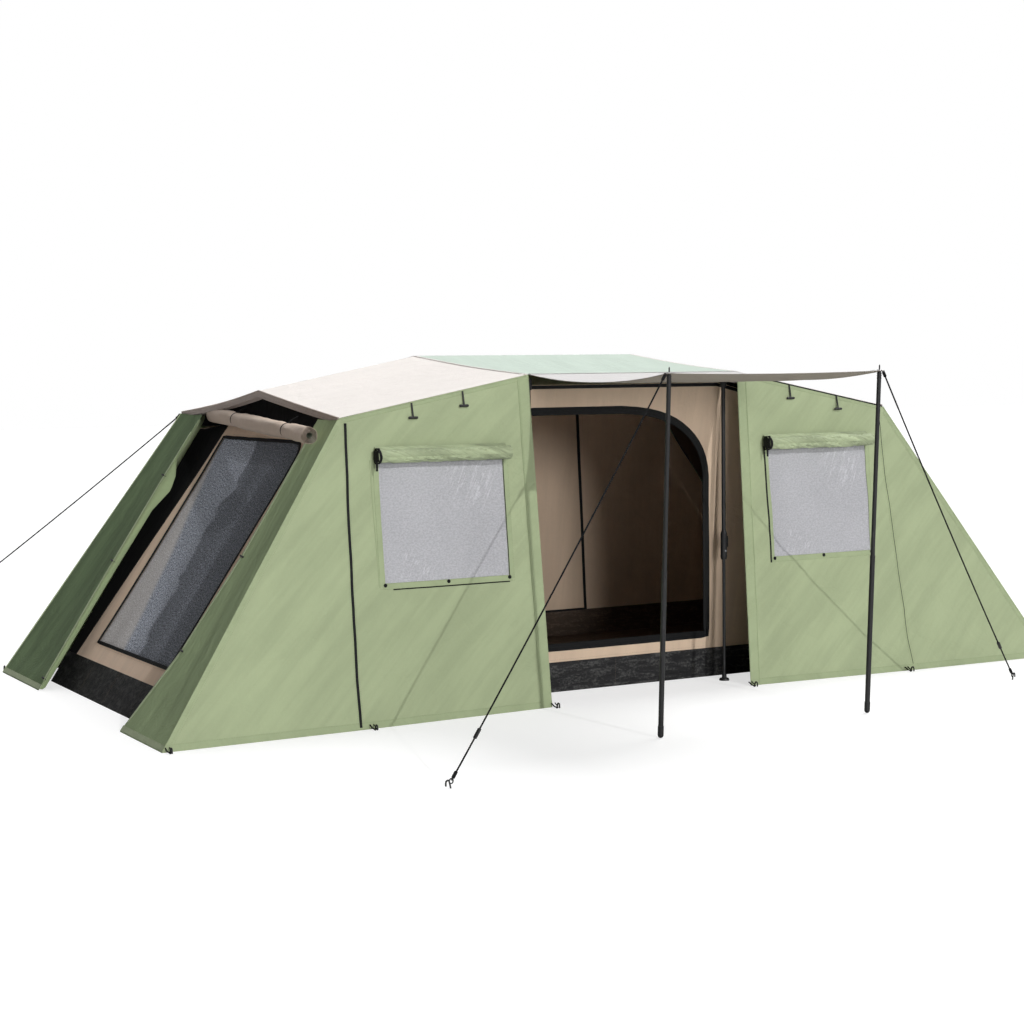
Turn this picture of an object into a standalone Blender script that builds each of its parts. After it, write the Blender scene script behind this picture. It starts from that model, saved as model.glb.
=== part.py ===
"""Instant-up frame tent: telescoping steel frame, fly, inner tent and propped awning.

Metres, +Z up. The origin is on the ground under the middle of the tent, +X runs along the
long side to the right and -Y points out of the front doorway, towards the awning.
"""

import math

import bmesh
import bpy
from mathutils import Matrix, Vector

# Outer tent, as corner positions in the +X, +Y quarter
RIDGE_HUB = Vector((0.837, 0.0, 2.127))
RIDGE_END = Vector((1.952, 0.0, 1.913))
EAVE_CENTRE = Vector((0.767, 1.384, 2.000))
EAVE_END = Vector((1.995, 1.334, 1.762))
GROUND_CENTRE = Vector((0.733, 1.573, 0.0))
GROUND_SEAM = Vector((2.037, 1.640, 0.0))
GROUND_CORNER = Vector((3.208, 1.666, 0.0))
STRIP_GROUND_Y = 0.86
STRIP_TOP_Y = 1.14
STRIP_TOP_RISE = 0.008

# Awning: a sheet from the centre eave to the tops of two poles
AWNING_REACH = 2.842
AWNING_HALF_WIDTH = 0.722
AWNING_POLE_FOOT_Y = 2.738
EYELET_RADIUS = 0.010

# Inner tent: a tub floor, leaning walls and a ceiling
TUB_HALF_LENGTH = 3.03
TUB_HALF_WIDTH = 1.110
TUB_HEIGHT = 0.190
TUB_WALL = 0.004
INNER_END_LEAN = 0.68
INNER_SIDE_LEAN = 0.065
INNER_EAVE_CENTRE_Z = 1.925
INNER_EAVE_END_Z = 1.640
INNER_RIDGE_CENTRE = Vector((0.80, 0.0, 1.990))
INNER_RIDGE_END_Z = 1.770
INNER_CENTRE_HALF = 0.72
DOOR_LEFT = -0.68
DOOR_RIGHT = 0.70
DOOR_BOTTOM = 0.285
DOOR_TOP = 1.770
DOOR_ROUND_WIDTH = 0.66
DOOR_ROUND_HEIGHT = 0.62

# Frame tubes
HUB_CENTRE = Vector((0.80, 0.0, 2.060))
HUB_RADIUS = 0.050
HUB_HEIGHT = 0.046
HUB_BOSS_RADIUS = 0.018
HUB_BOSS_REACH = 0.088
SOCKET_RADIUS = 0.0120
ARM_RADIUS = 0.0110
CENTRE_LEG_XY = (0.72, 1.30)
CENTRE_ELBOW_Z = 1.955
ELBOW_BOSS_RADIUS = 0.021
LEG_OUTER_RADIUS = 0.0135
LEG_BORE_RADIUS = 0.0115
LEG_INNER_RADIUS = 0.0105
LOCK_LOW_Z = 0.79
LOCK_HIGH_Z = 0.98
LOCK_RADIUS = 0.021
BUTTON_RADIUS = 0.0060
BUTTON_POCKET_RADIUS = 0.0068
BUTTON_PROUD = 0.0045
BUTTON_LENGTH = 0.0085
CENTRE_LEG_INNER_TOP = 1.00
FOOT_PLATE_RADIUS = 0.034
FOOT_PLATE_HEIGHT = 0.014

END_PIVOT = Vector((1.950, 1.270, 1.705))
END_FOOT_RADIUS = 0.020
END_FOOT = Vector((2.980, 1.360, END_FOOT_RADIUS))
END_LOCK_NEAR = 0.99
END_LOCK_FAR = 1.13
END_INNER_START = 0.93
EYE_HALF_WIDTH = 0.0110
CLEVIS_GAP = 0.0120
CLEVIS_CHEEK = 0.0060
CLEVIS_RADIUS = 0.0190
PIN_RADIUS = 0.0050
PIN_HOLE_RADIUS = 0.0056

POLE_UPPER_RADIUS = 0.0125
POLE_BORE_RADIUS = 0.0135
POLE_LOWER_RADIUS = 0.0150
POLE_FOOT_RADIUS = 0.0170
POLE_JOIN = 1.07
POLE_UPPER_END = 1.22
SPIKE_RADIUS = 0.0040
SPIKE_HEIGHT = 0.034

# Rolled covers
WINDOW_ROLL_RADIUS = 0.042
WINDOW_ROLL_X = (0.945, 1.80)
WINDOW_ROLL_Z = 1.548
END_ROLL_RADIUS = 0.054
END_ROLL_BACK = Vector((1.915, 0.930, 1.750))
END_ROLL_FRONT = {"left": Vector((2.165, -1.310, 1.668)), "right": Vector((1.960, -1.150, 1.705))}

# Guy ropes: where each starts and where its peg stands
GUY_DIAMETER = 0.009
GUY_SAG = 0.02
GUY_ENDS = {
    "guy_awning_left": (Vector((-0.750, -2.850, 1.996)), Vector((-2.29, -3.27, 0.035))),
    "guy_awning_right": (Vector((0.750, -2.840, 1.996)), Vector((2.27, -2.30, 0.035))),
    "guy_back_left": (Vector((-2.000, 1.347, 1.745)), Vector((-4.09, 2.00, 0.035))),
    "guy_back_right": (Vector((2.000, 1.347, 1.745)), Vector((3.62, 2.20, 0.035))),
}

FABRIC = 0.002
WALL_ROWS = 4
GAP = 0.0006
SIDES = 12

COLOURS = {
    "steel_black": ((0.030, 0.031, 0.033), 0.42, 0.6),
    "plastic_black": ((0.025, 0.025, 0.026), 0.50, 0.0),
    "button_grey": ((0.30, 0.30, 0.31), 0.40, 0.0),
    "fly_green": ((0.37, 0.46, 0.27), 0.85, 0.0),
    "roof_mint": ((0.50, 0.66, 0.56), 0.85, 0.0),
    "roof_cream": ((0.80, 0.75, 0.70), 0.85, 0.0),
    "awning_pale": ((0.78, 0.76, 0.77), 0.85, 0.0),
    "inner_tan": ((0.60, 0.46, 0.36), 0.90, 0.0),
    "tub_black": ((0.030, 0.031, 0.033), 0.60, 0.0),
    "guy_black": ((0.020, 0.020, 0.020), 0.80, 0.0),
}


def material(slot):
    """The Principled material of a slot, made on first use."""
    if slot in bpy.data.materials:
        return bpy.data.materials[slot]
    colour, roughness, metallic = COLOURS[slot]
    made = bpy.data.materials.new(slot)
    made.use_nodes = True
    shader = made.node_tree.nodes["Principled BSDF"]
    shader.inputs["Base Color"].default_value = (*colour, 1.0)
    shader.inputs["Roughness"].default_value = roughness
    shader.inputs["Metallic"].default_value = metallic
    made.diffuse_color = (*colour, 1.0)
    return made


def mirrored(point, x_sign=1, y_sign=1):
    """A quarter's point moved to another quarter of the tent."""
    return Vector((point.x * x_sign, point.y * y_sign, point.z))


def node(name, mesh, slot, origin=(0.0, 0.0, 0.0)):
    """A named object around a mesh built in world coordinates, with its origin where asked."""
    mesh.transform(Matrix.Translation(-Vector(origin)))
    thing = bpy.data.objects.new(name, mesh)
    thing.location = origin
    mesh.materials.clear()
    mesh.materials.append(material(slot))
    bpy.context.scene.collection.objects.link(thing)
    return thing


def mesh_from(name, verts, faces):
    """A mesh with outward normals from world positions and faces."""
    mesh = bpy.data.meshes.new(name)
    mesh.from_pydata([tuple(v) for v in verts], [], faces)
    outward(mesh)
    return mesh


def outward(mesh):
    """Turn every face of a closed mesh outward."""
    bm = bmesh.new()
    bm.from_mesh(mesh)
    bmesh.ops.recalc_face_normals(bm, faces=bm.faces)
    bm.to_mesh(mesh)
    bm.free()


def turned(name, profile, start, towards, sides=SIDES):
    """A body turned around the line from start towards a point.

    The profile is (distance along the line, radius) pairs, and runs from the axis to the axis.
    """
    start = Vector(start)
    axis = (Vector(towards) - start).normalized()
    side = axis.orthogonal().normalized()
    other = axis.cross(side)
    verts, rings = [], []
    for along, radius in profile:
        centre = start + axis * along
        if radius == 0.0:
            rings.append([len(verts)])
            verts.append(centre)
            continue
        rings.append(list(range(len(verts), len(verts) + sides)))
        for k in range(sides):
            angle = 2.0 * math.pi * k / sides
            verts.append(centre + (side * math.cos(angle) + other * math.sin(angle)) * radius)
    faces = []
    for near, far in zip(rings, rings[1:]):
        for k in range(sides):
            n = (k + 1) % sides
            if len(near) == 1:
                faces.append((near[0], far[k], far[n]))
            elif len(far) == 1:
                faces.append((near[k], near[n], far[0]))
            else:
                faces.append((near[k], near[n], far[n], far[k]))
    mesh = mesh_from(name, verts, faces)
    for face in mesh.polygons:
        face.use_smooth = True
    mesh.set_sharp_from_angle(angle=math.radians(35))
    return mesh


def rod(name, start, end, radius, sides=SIDES):
    """A plain round bar between two points."""
    length = (Vector(end) - Vector(start)).length
    return turned(name, [(0, 0), (0, radius), (length, radius), (length, 0)], start, end, sides)


def box(name, centre, size, turn=None):
    """A box around a centre, turned by a 3x3 matrix if one is given."""
    bm = bmesh.new()
    bmesh.ops.create_cube(bm, size=1.0)
    bmesh.ops.scale(bm, vec=size, verts=bm.verts)
    if turn is not None:
        bmesh.ops.transform(bm, matrix=turn.to_4x4(), verts=bm.verts)
    bmesh.ops.translate(bm, vec=centre, verts=bm.verts)
    mesh = bpy.data.meshes.new(name)
    bm.to_mesh(mesh)
    bm.free()
    return mesh


def combined(name, base, added=(), cut=()):
    """One closed mesh: the base with solids added, then solids cut away."""
    body = bpy.data.objects.new(name, base)
    bpy.context.scene.collection.objects.link(body)
    for operation, tools in (("UNION", added), ("DIFFERENCE", cut)):
        for tool_mesh in tools:
            tool = bpy.data.objects.new("tool", tool_mesh)
            bpy.context.scene.collection.objects.link(tool)
            boolean = body.modifiers.new("boolean", "BOOLEAN")
            boolean.operation = operation
            boolean.solver = "EXACT"
            boolean.object = tool
            graph = bpy.context.evaluated_depsgraph_get()
            result = bpy.data.meshes.new_from_object(body.evaluated_get(graph))
            body.modifiers.clear()
            body.data = result
            bpy.data.objects.remove(tool)
    result = body.data
    bpy.data.objects.remove(body)
    return result


def sheet(name, verts, faces, thickness=FABRIC, towards=None):
    """A thin closed panel: a surface thickened on the side that a point lies on."""
    bm = bmesh.new()
    points = [bm.verts.new(v) for v in verts]
    for face in faces:
        bm.faces.new([points[k] for k in face])
    bmesh.ops.recalc_face_normals(bm, faces=bm.faces)
    bm.normal_update()
    bm.faces.ensure_lookup_table()
    first = bm.faces[0]
    if (Vector(towards) - first.calc_center_median()).dot(first.normal) < 0.0:
        bmesh.ops.reverse_faces(bm, faces=bm.faces)
        bm.normal_update()
    base = list(bm.faces)
    offset = {v: v.co + v.normal * (thickness * v.calc_shell_factor()) for v in bm.verts}
    top = {v: bm.verts.new(place) for v, place in offset.items()}
    rim = [e for e in bm.edges if e.is_boundary]
    for face in base:
        bm.faces.new([top[v] for v in face.verts])
    for edge in rim:
        a, b = edge.verts
        bm.faces.new([a, b, top[b], top[a]])
    bmesh.ops.recalc_face_normals(bm, faces=bm.faces)
    mesh = bpy.data.meshes.new(name)
    bm.to_mesh(mesh)
    bm.free()
    return mesh


# ---------------------------------------------------------------- frame


def hub(side_name, x_sign):
    """Ridge hub: a disc with a socket boss for each tube that meets in it."""
    centre = mirrored(HUB_CENTRE, x_sign)
    half = HUB_HEIGHT / 2.0
    low = centre - Vector((0.0, 0.0, half))
    disc = turned("disc", [(0, 0), (0, 0.044), (0.006, HUB_RADIUS), (HUB_HEIGHT - 0.006, HUB_RADIUS),
                           (HUB_HEIGHT, 0.044), (HUB_HEIGHT, 0)], low, centre, 20)
    targets = [mirrored(HUB_CENTRE, -x_sign)]
    for y_sign in (-1, 1):
        targets.append(centre_elbow(x_sign, y_sign))
        targets.append(end_arm_tip(x_sign, y_sign))
    bosses, bores = [], []
    for target in targets:
        way = (target - centre).normalized()
        bosses.append(rod("boss", centre + way * 0.030, centre + way * HUB_BOSS_REACH, HUB_BOSS_RADIUS))
        bores.append(rod("bore", centre + way * 0.040, centre + way * (HUB_BOSS_REACH + 0.01), SOCKET_RADIUS))
    mesh = combined("hub", disc, bosses, bores)
    return node("hub_" + side_name, mesh, "plastic_black", centre)


def centre_elbow(x_sign, y_sign):
    return Vector((CENTRE_LEG_XY[0] * x_sign, CENTRE_LEG_XY[1] * y_sign, CENTRE_ELBOW_Z))


def end_arm_tip(x_sign, y_sign):
    return mirrored(END_PIVOT, x_sign, y_sign) + Vector((0.0, 0.0, 0.024))


def hinge_axis(x_sign, y_sign):
    """The level line that an end leg swings about: square to the leg as seen from above."""
    run = mirrored(END_FOOT - END_PIVOT, x_sign, y_sign)
    return Vector((-run.y, run.x, 0.0)).normalized()


def ridge_pole():
    reach = HUB_CENTRE.x - 0.050
    mesh = rod("ridge_pole", (-reach, 0.0, HUB_CENTRE.z), (reach, 0.0, HUB_CENTRE.z), ARM_RADIUS)
    return node("ridge_pole", mesh, "steel_black")


def centre_arm(name, x_sign, y_sign):
    """Tube from a hub socket to the elbow that holds a centre leg."""
    hub_centre = mirrored(HUB_CENTRE, x_sign)
    elbow = centre_elbow(x_sign, y_sign)
    way = (elbow - hub_centre).normalized()
    tube = rod("tube", hub_centre + way * 0.050, elbow, ARM_RADIUS)
    low = elbow - Vector((0.0, 0.0, 0.050))
    boss = turned("boss", [(0, 0), (0, ELBOW_BOSS_RADIUS), (0.066, ELBOW_BOSS_RADIUS),
                           (0.072, 0.015), (0.072, 0)], low, elbow, 16)
    socket = rod("socket", low - Vector((0, 0, 0.01)), low + Vector((0, 0, 0.042)),
                 LEG_OUTER_RADIUS + 0.0010)
    mesh = combined(name, tube, [boss], [socket])
    return node(name, mesh, "steel_black", hub_centre)


def end_arm(name, x_sign, y_sign):
    """Tube from a hub socket to the clevis and pin that an end leg swings on."""
    hub_centre = mirrored(HUB_CENTRE, x_sign)
    tip = end_arm_tip(x_sign, y_sign)
    pivot = mirrored(END_PIVOT, x_sign, y_sign)
    way = (tip - hub_centre).normalized()
    axis = hinge_axis(x_sign, y_sign)
    tube = rod("tube", hub_centre + way * 0.050, tip, ARM_RADIUS)
    outer = CLEVIS_GAP + CLEVIS_CHEEK
    turn = Matrix((axis, axis.cross(Vector((0, 0, 1))), Vector((0, 0, 1)))).transposed()
    crown = box("crown", pivot + Vector((0, 0, 0.0255)), (2 * outer, 0.030, 0.018), turn)
    cheeks = []
    for side in (-1, 1):
        near, far = pivot + axis * side * CLEVIS_GAP, pivot + axis * side * outer
        cheeks.append(rod("cheek", near, far, CLEVIS_RADIUS, 16))
    reach = outer + 0.004
    pin = rod("pin", pivot - axis * reach, pivot + axis * reach, PIN_RADIUS)
    mesh = combined(name, crown, [*cheeks, tube, pin])
    return node(name, mesh, "steel_black", hub_centre)


def button_pocket(centre, outward_way):
    """The hole that a lock button slides in, from outside the housing to just short of the bore."""
    return rod("pocket", centre + outward_way * 0.0122, centre + outward_way * (LOCK_RADIUS + 0.01),
               BUTTON_POCKET_RADIUS)


def lock_button(name, centre, outward_way):
    """Round push button, proud of the lock housing at rest."""
    top = LOCK_RADIUS + BUTTON_PROUD
    start = centre + outward_way * (top - BUTTON_LENGTH)
    profile = [(0, 0), (0, BUTTON_RADIUS), (BUTTON_LENGTH - 0.0015, BUTTON_RADIUS),
               (BUTTON_LENGTH, BUTTON_RADIUS - 0.0015), (BUTTON_LENGTH, 0)]
    mesh = turned(name, profile, start, centre + outward_way, 10)
    return node(name, mesh, "button_grey", centre + outward_way * top)


def centre_leg(place, x_sign, y_sign):
    """Upright leg in two telescoping tubes, with the lock button between them."""
    x, y = CENTRE_LEG_XY[0] * x_sign, CENTRE_LEG_XY[1] * y_sign
    top = CENTRE_ELBOW_Z - 0.012
    down = Vector((x, y, 0.0))
    length = top - LOCK_LOW_Z
    lock = LOCK_HIGH_Z - LOCK_LOW_Z
    profile = [(0, 0), (0, 0.0185), (0.012, LOCK_RADIUS), (lock - 0.02, LOCK_RADIUS),
               (lock, LEG_OUTER_RADIUS), (length, LEG_OUTER_RADIUS), (length, 0)]
    low = Vector((x, y, LOCK_LOW_Z))
    body = turned("body", profile, low, low + Vector((0, 0, 1)), 16)
    bore = rod("bore", low - Vector((0, 0, 0.01)), Vector((x, y, top - 0.03)), LEG_BORE_RADIUS)
    button_centre = Vector((x, y, LOCK_LOW_Z + 0.055))
    out = Vector((0.0, float(y_sign), 0.0))
    mesh = combined("upper", body, [], [bore, button_pocket(button_centre, out)])
    node("centre_leg_upper_" + place, mesh, "steel_black", low)
    lock_button("centre_lock_button_" + place, button_centre, out)

    profile = [(0, 0), (0, FOOT_PLATE_RADIUS), (FOOT_PLATE_HEIGHT, FOOT_PLATE_RADIUS - 0.004),
               (0.018, 0.016), (0.045, 0.0145), (0.045, LEG_INNER_RADIUS),
               (CENTRE_LEG_INNER_TOP, LEG_INNER_RADIUS), (CENTRE_LEG_INNER_TOP, 0)]
    mesh = turned("lower", profile, down, down + Vector((0, 0, 1)), 16)
    node("centre_leg_lower_" + place, mesh, "steel_black", down)


def end_leg(place, x_sign, y_sign):
    """Slanting leg: an outer tube that swings on the clevis pin and an inner tube with a foot."""
    pivot = mirrored(END_PIVOT, x_sign, y_sign)
    foot = mirrored(END_FOOT, x_sign, y_sign)
    axis = hinge_axis(x_sign, y_sign)
    way = (foot - pivot).normalized()
    length = (foot - pivot).length
    profile = [(0.006, 0), (0.006, LEG_OUTER_RADIUS - 0.003), (0.014, LEG_OUTER_RADIUS),
               (END_LOCK_NEAR, LEG_OUTER_RADIUS), (END_LOCK_NEAR + 0.02, LOCK_RADIUS),
               (END_LOCK_FAR - 0.012, LOCK_RADIUS), (END_LOCK_FAR, 0.0185), (END_LOCK_FAR, 0)]
    body = turned("body", profile, pivot, foot, 16)
    trim = []
    for side in (-1, 1):
        centre = pivot + axis * side * (EYE_HALF_WIDTH + 0.02)
        turn = Matrix((axis, way.cross(axis), way)).transposed()
        trim.append(box("trim", centre, (0.04, 0.08, 0.056), turn))
    eye = rod("eye", pivot - axis * EYE_HALF_WIDTH, pivot + axis * EYE_HALF_WIDTH, 0.0130, 16)
    hole = rod("hole", pivot - axis * 0.03, pivot + axis * 0.03, PIN_HOLE_RADIUS)
    bore = rod("bore", pivot + way * 0.050, pivot + way * (END_LOCK_FAR + 0.01), LEG_BORE_RADIUS)
    out = way.cross(axis)
    if out.z < 0.0:
        out.negate()
    button_centre = pivot + way * (END_LOCK_FAR - 0.055)
    cuts = [*trim, hole, bore, button_pocket(button_centre, out)]
    mesh = combined("upper", body, [eye], cuts)
    node("end_leg_upper_" + place, mesh, "steel_black", pivot)
    lock_button("end_lock_button_" + place, button_centre, out)

    start = pivot + way * END_INNER_START
    reach = length - END_INNER_START
    cuff = 0.060
    profile = [(0, 0), (0, LEG_INNER_RADIUS), (reach - cuff, LEG_INNER_RADIUS), (reach - cuff, 0.0145),
               (reach - 0.012, 0.0160)]
    for step in range(5):
        angle = math.radians(-36 + 126 * step / 4)
        profile.append((reach + END_FOOT_RADIUS * math.sin(angle), END_FOOT_RADIUS * math.cos(angle)))
    profile[-1] = (reach + END_FOOT_RADIUS, 0)
    mesh = turned("lower", profile, start, foot, 16)
    node("end_leg_lower_" + place, mesh, "steel_black", start)


# ---------------------------------------------------------------- outer tent


def fly_roofs():
    """Three roof panels: a flat-topped centre and two that fall towards the ends."""
    above = Vector((0.0, 0.0, 10.0))
    d, c = RIDGE_HUB, EAVE_CENTRE
    trim = Vector((GAP, 0.0, 0.0))
    left, right = -1, 1
    verts = [mirrored(d - trim, left), mirrored(d - trim, right)]
    for y_sign in (-1, 1):
        verts += [mirrored(c - trim, left, y_sign), mirrored(c - trim, right, y_sign)]
    mesh = sheet("fly_roof_centre", verts, [(0, 1, 3, 2), (1, 0, 4, 5)], towards=above)
    node("fly_roof_centre", mesh, "roof_mint")
    for side_name, x_sign in (("left", -1), ("right", 1)):
        verts = [mirrored(d + trim, x_sign), mirrored(RIDGE_END, x_sign)]
        for y_sign in (-1, 1):
            verts += [mirrored(EAVE_END, x_sign, y_sign), mirrored(c + trim, x_sign, y_sign)]
        mesh = sheet("roof", verts, [(0, 1, 2, 3), (1, 0, 5, 4)], towards=above)
        node("fly_roof_" + side_name, mesh, "roof_cream")


def patches(corner_sets, rows=WALL_ROWS):
    """Faces over several four-cornered patches that share their edge points.

    Each set holds the corners top near, top far, bottom far and bottom near, and the columns.
    """
    verts, faces, known = [], [], {}

    def index(point):
        key = tuple(round(value, 5) for value in point)
        if key not in known:
            known[key] = len(verts)
            verts.append(point)
        return known[key]

    for top_near, top_far, low_far, low_near, columns in corner_sets:
        grid = []
        for row in range(rows + 1):
            near, far = top_near.lerp(low_near, row / rows), top_far.lerp(low_far, row / rows)
            grid.append([index(near.lerp(far, column / columns)) for column in range(columns + 1)])
        for upper, lower in zip(grid, grid[1:]):
            for k in range(columns):
                face = dict.fromkeys((upper[k], upper[k + 1], lower[k + 1], lower[k]))
                faces.append(tuple(face))
    return verts, faces


def wall_patches(x_sign, y_sign):
    """A quarter's wall under the roof: main panel, end wing and the strip round the corner."""
    drop = Vector((0.0, 0.0, 0.004))
    strip_top = Vector((EAVE_END.x, STRIP_TOP_Y, EAVE_END.z + STRIP_TOP_RISE))
    strip_low = Vector((GROUND_CORNER.x, STRIP_GROUND_Y, 0.0))
    places = [EAVE_CENTRE - drop, EAVE_END - drop, GROUND_SEAM, GROUND_CENTRE, GROUND_CORNER,
              strip_top - drop, strip_low]
    centre, end, seam, inner, corner, top, low = [mirrored(p, x_sign, y_sign) for p in places]
    return [(centre, end, seam, inner, 4), (end, end, corner, seam, 1), (end, top, low, corner, 1)]


def fly_walls():
    """Front walls either side of the doorway and the closed back wall, with their end strips."""
    for side_name, x_sign in (("left", -1), ("right", 1)):
        verts, faces = patches(wall_patches(x_sign, -1))
        mesh = sheet("wall", verts, faces, towards=(0.0, -20.0, 1.0))
        node("fly_wall_front_" + side_name, mesh, "fly_green")
    left, right = wall_patches(-1, 1), wall_patches(1, 1)
    middle = (left[0][0], right[0][0], right[0][3], left[0][3], 1)
    verts, faces = patches([middle, *left, *right])
    mesh = sheet("wall", verts, faces, towards=(0.0, 20.0, 1.0))
    node("fly_wall_back", mesh, "fly_green")


# ---------------------------------------------------------------- awning


def awning_canopy():
    """The propped sheet, with an eyelet at each outer corner."""
    inner_y, outer_y = -EAVE_CENTRE.y - GAP, -AWNING_REACH - 0.020
    inner_x, outer_x = EAVE_CENTRE.x, AWNING_HALF_WIDTH + 0.020
    z = EAVE_CENTRE.z
    verts = [(-inner_x, inner_y, z), (inner_x, inner_y, z), (outer_x, outer_y, z), (-outer_x, outer_y, z)]
    canopy = sheet("canopy", [Vector(v) for v in verts], [(0, 1, 2, 3)], towards=(0.0, 0.0, 10.0))
    holes = []
    for x_sign in (-1, 1):
        at = Vector((AWNING_HALF_WIDTH * x_sign, -AWNING_REACH, z))
        holes.append(rod("hole", at - Vector((0, 0, 0.01)), at + Vector((0, 0, 0.01)), EYELET_RADIUS))
    mesh = combined("awning_canopy", canopy, [], holes)
    node("awning_canopy", mesh, "awning_pale")


def awning_pole(side_name, x_sign):
    """Two-piece prop: the thin upper tube slides in the lower one, its spike in the eyelet."""
    top = Vector((AWNING_HALF_WIDTH * x_sign, -AWNING_REACH, EAVE_CENTRE.z))
    foot = Vector((AWNING_HALF_WIDTH * x_sign, -AWNING_POLE_FOOT_Y, POLE_FOOT_RADIUS))
    length = (foot - top).length
    profile = [(-SPIKE_HEIGHT, 0), (-SPIKE_HEIGHT, 0.002), (-SPIKE_HEIGHT + 0.006, SPIKE_RADIUS),
               (0.003, SPIKE_RADIUS), (0.003, 0.009), (0.012, POLE_UPPER_RADIUS),
               (POLE_UPPER_END, POLE_UPPER_RADIUS), (POLE_UPPER_END, 0)]
    mesh = turned("upper", profile, top, foot, 16)
    node("awning_pole_upper_" + side_name, mesh, "steel_black", top)

    profile = [(length - 0.035, 0), (length - 0.035, POLE_BORE_RADIUS), (POLE_JOIN, POLE_BORE_RADIUS),
               (POLE_JOIN, POLE_LOWER_RADIUS), (length - 0.05, POLE_LOWER_RADIUS),
               (length - 0.05, POLE_FOOT_RADIUS)]
    for step in range(5):
        angle = math.radians(90 * step / 4)
        profile.append((length + POLE_FOOT_RADIUS * math.sin(angle), POLE_FOOT_RADIUS * math.cos(angle)))
    profile[-1] = (length + POLE_FOOT_RADIUS, 0)
    mesh = turned("lower", profile, top, foot, 16)
    node("awning_pole_lower_" + side_name, mesh, "steel_black", top + (foot - top).normalized() * POLE_JOIN)


# ---------------------------------------------------------------- inner tent


def inner_side_y(z):
    return TUB_HALF_WIDTH + INNER_SIDE_LEAN * z


def inner_end_x(z):
    return TUB_HALF_LENGTH - INNER_END_LEAN * z


def inner_floor():
    """Waterproof tub: a floor sheet with a raised skirt all round."""
    def ring(z, inset):
        x, y = inner_end_x(z) - inset, inner_side_y(z) - inset
        return [Vector((-x, -y, z)), Vector((x, -y, z)), Vector((x, y, z)), Vector((-x, y, z))]

    loops = [ring(0.0, 0.0), ring(TUB_HEIGHT, 0.0), ring(TUB_HEIGHT, TUB_WALL)]
    bottom_inside = ring(TUB_WALL, TUB_WALL)
    loops.append(bottom_inside)
    verts = [v for loop in loops for v in loop]
    faces = [(0, 1, 2, 3), (12, 13, 14, 15)]
    for level in range(3):
        for k in range(4):
            n = (k + 1) % 4
            a, b = 4 * level, 4 * (level + 1)
            faces.append((a + k, a + n, b + n, b + k))
    node("inner_floor", mesh_from("inner_floor", verts, faces), "tub_black")


def inner_side_outline(y_sign):
    """Outline of the long inner walls, between the tub and the ceiling."""
    low, end, mid = TUB_HEIGHT + GAP, INNER_EAVE_END_Z, INNER_EAVE_CENTRE_Z
    points = [(inner_end_x(low), low), (inner_end_x(end), end), (INNER_CENTRE_HALF, mid)]
    points += [(-x, z) for x, z in reversed(points)]
    inset = 0.004
    return [Vector((x - math.copysign(inset, x), y_sign * (inner_side_y(z) - inset), z)) for x, z in points]


def door_cutter():
    """Prism of the D-shaped doorway: straight on the left, rounded at the top right."""
    outline = [(DOOR_LEFT, DOOR_BOTTOM), (DOOR_RIGHT, DOOR_BOTTOM)]
    steps = 8
    for k in range(steps + 1):
        angle = 0.5 * math.pi * k / steps
        outline.append((DOOR_RIGHT - DOOR_ROUND_WIDTH * (1.0 - math.cos(angle)),
                        DOOR_TOP - DOOR_ROUND_HEIGHT * (1.0 - math.sin(angle))))
    outline.append((DOOR_LEFT, DOOR_TOP))
    count = len(outline)
    verts = [Vector((x, y, z)) for y in (-1.6, -0.8) for x, z in outline]
    faces = [tuple(range(count)), tuple(range(2 * count - 1, count - 1, -1))]
    faces += [(k, (k + 1) % count, (k + 1) % count + count, k + count) for k in range(count)]
    return mesh_from("door", verts, faces)


def inner_walls():
    """Front wall with the doorway, back wall and the two leaning end walls."""
    for place, y_sign in (("front", -1), ("back", 1)):
        verts = inner_side_outline(y_sign)
        panel = sheet("panel", verts, [(0, 1, 2, 3, 4, 5)], towards=(0.0, 20.0 * y_sign, 1.0))
        cuts = [door_cutter()] if place == "front" else []
        node("inner_wall_" + place, combined("wall", panel, [], cuts), "inner_tan")
    low, end, peak = TUB_HEIGHT + GAP, INNER_EAVE_END_Z, INNER_RIDGE_END_Z
    for place, x_sign in (("left", -1), ("right", 1)):
        outline = []
        for y_side, z in ((-1, low), (-1, end), (0, peak), (1, end), (1, low)):
            y = y_side * (inner_side_y(z) - 0.006)
            outline.append(Vector((x_sign * (inner_end_x(z) - 0.0015), y, z)))
        mesh = sheet("end", outline, [(0, 1, 2, 3, 4)], towards=(20.0 * x_sign, 0.0, 1.0))
        node("inner_wall_" + place, mesh, "inner_tan")


def inner_ceiling():
    """Ceiling of the inner tent, following the arms from ridge to eaves."""
    rise = 0.006
    ridge_end = Vector((inner_end_x(INNER_RIDGE_END_Z), 0.0, INNER_RIDGE_END_Z + rise))
    eave_end = Vector((inner_end_x(INNER_EAVE_END_Z), inner_side_y(INNER_EAVE_END_Z),
                       INNER_EAVE_END_Z + rise))
    eave_mid = Vector((INNER_CENTRE_HALF, inner_side_y(INNER_EAVE_CENTRE_Z), INNER_EAVE_CENTRE_Z + rise))
    ridge_mid = INNER_RIDGE_CENTRE + Vector((0.0, 0.0, rise))
    verts = [mirrored(ridge_end, -1), mirrored(ridge_mid, -1), ridge_mid, ridge_end]
    faces = []
    for y_sign in (-1, 1):
        first = len(verts)
        for corner, x_sign in ((eave_end, -1), (eave_mid, -1), (eave_mid, 1), (eave_end, 1)):
            verts.append(mirrored(corner, x_sign, y_sign))
        faces += [(k, k + 1, first + k + 1, first + k) for k in range(3)]
    mesh = sheet("ceiling", verts, faces, towards=(0.0, 0.0, 10.0))
    node("inner_ceiling", mesh, "inner_tan")


# ---------------------------------------------------------------- rolls and guys


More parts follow.
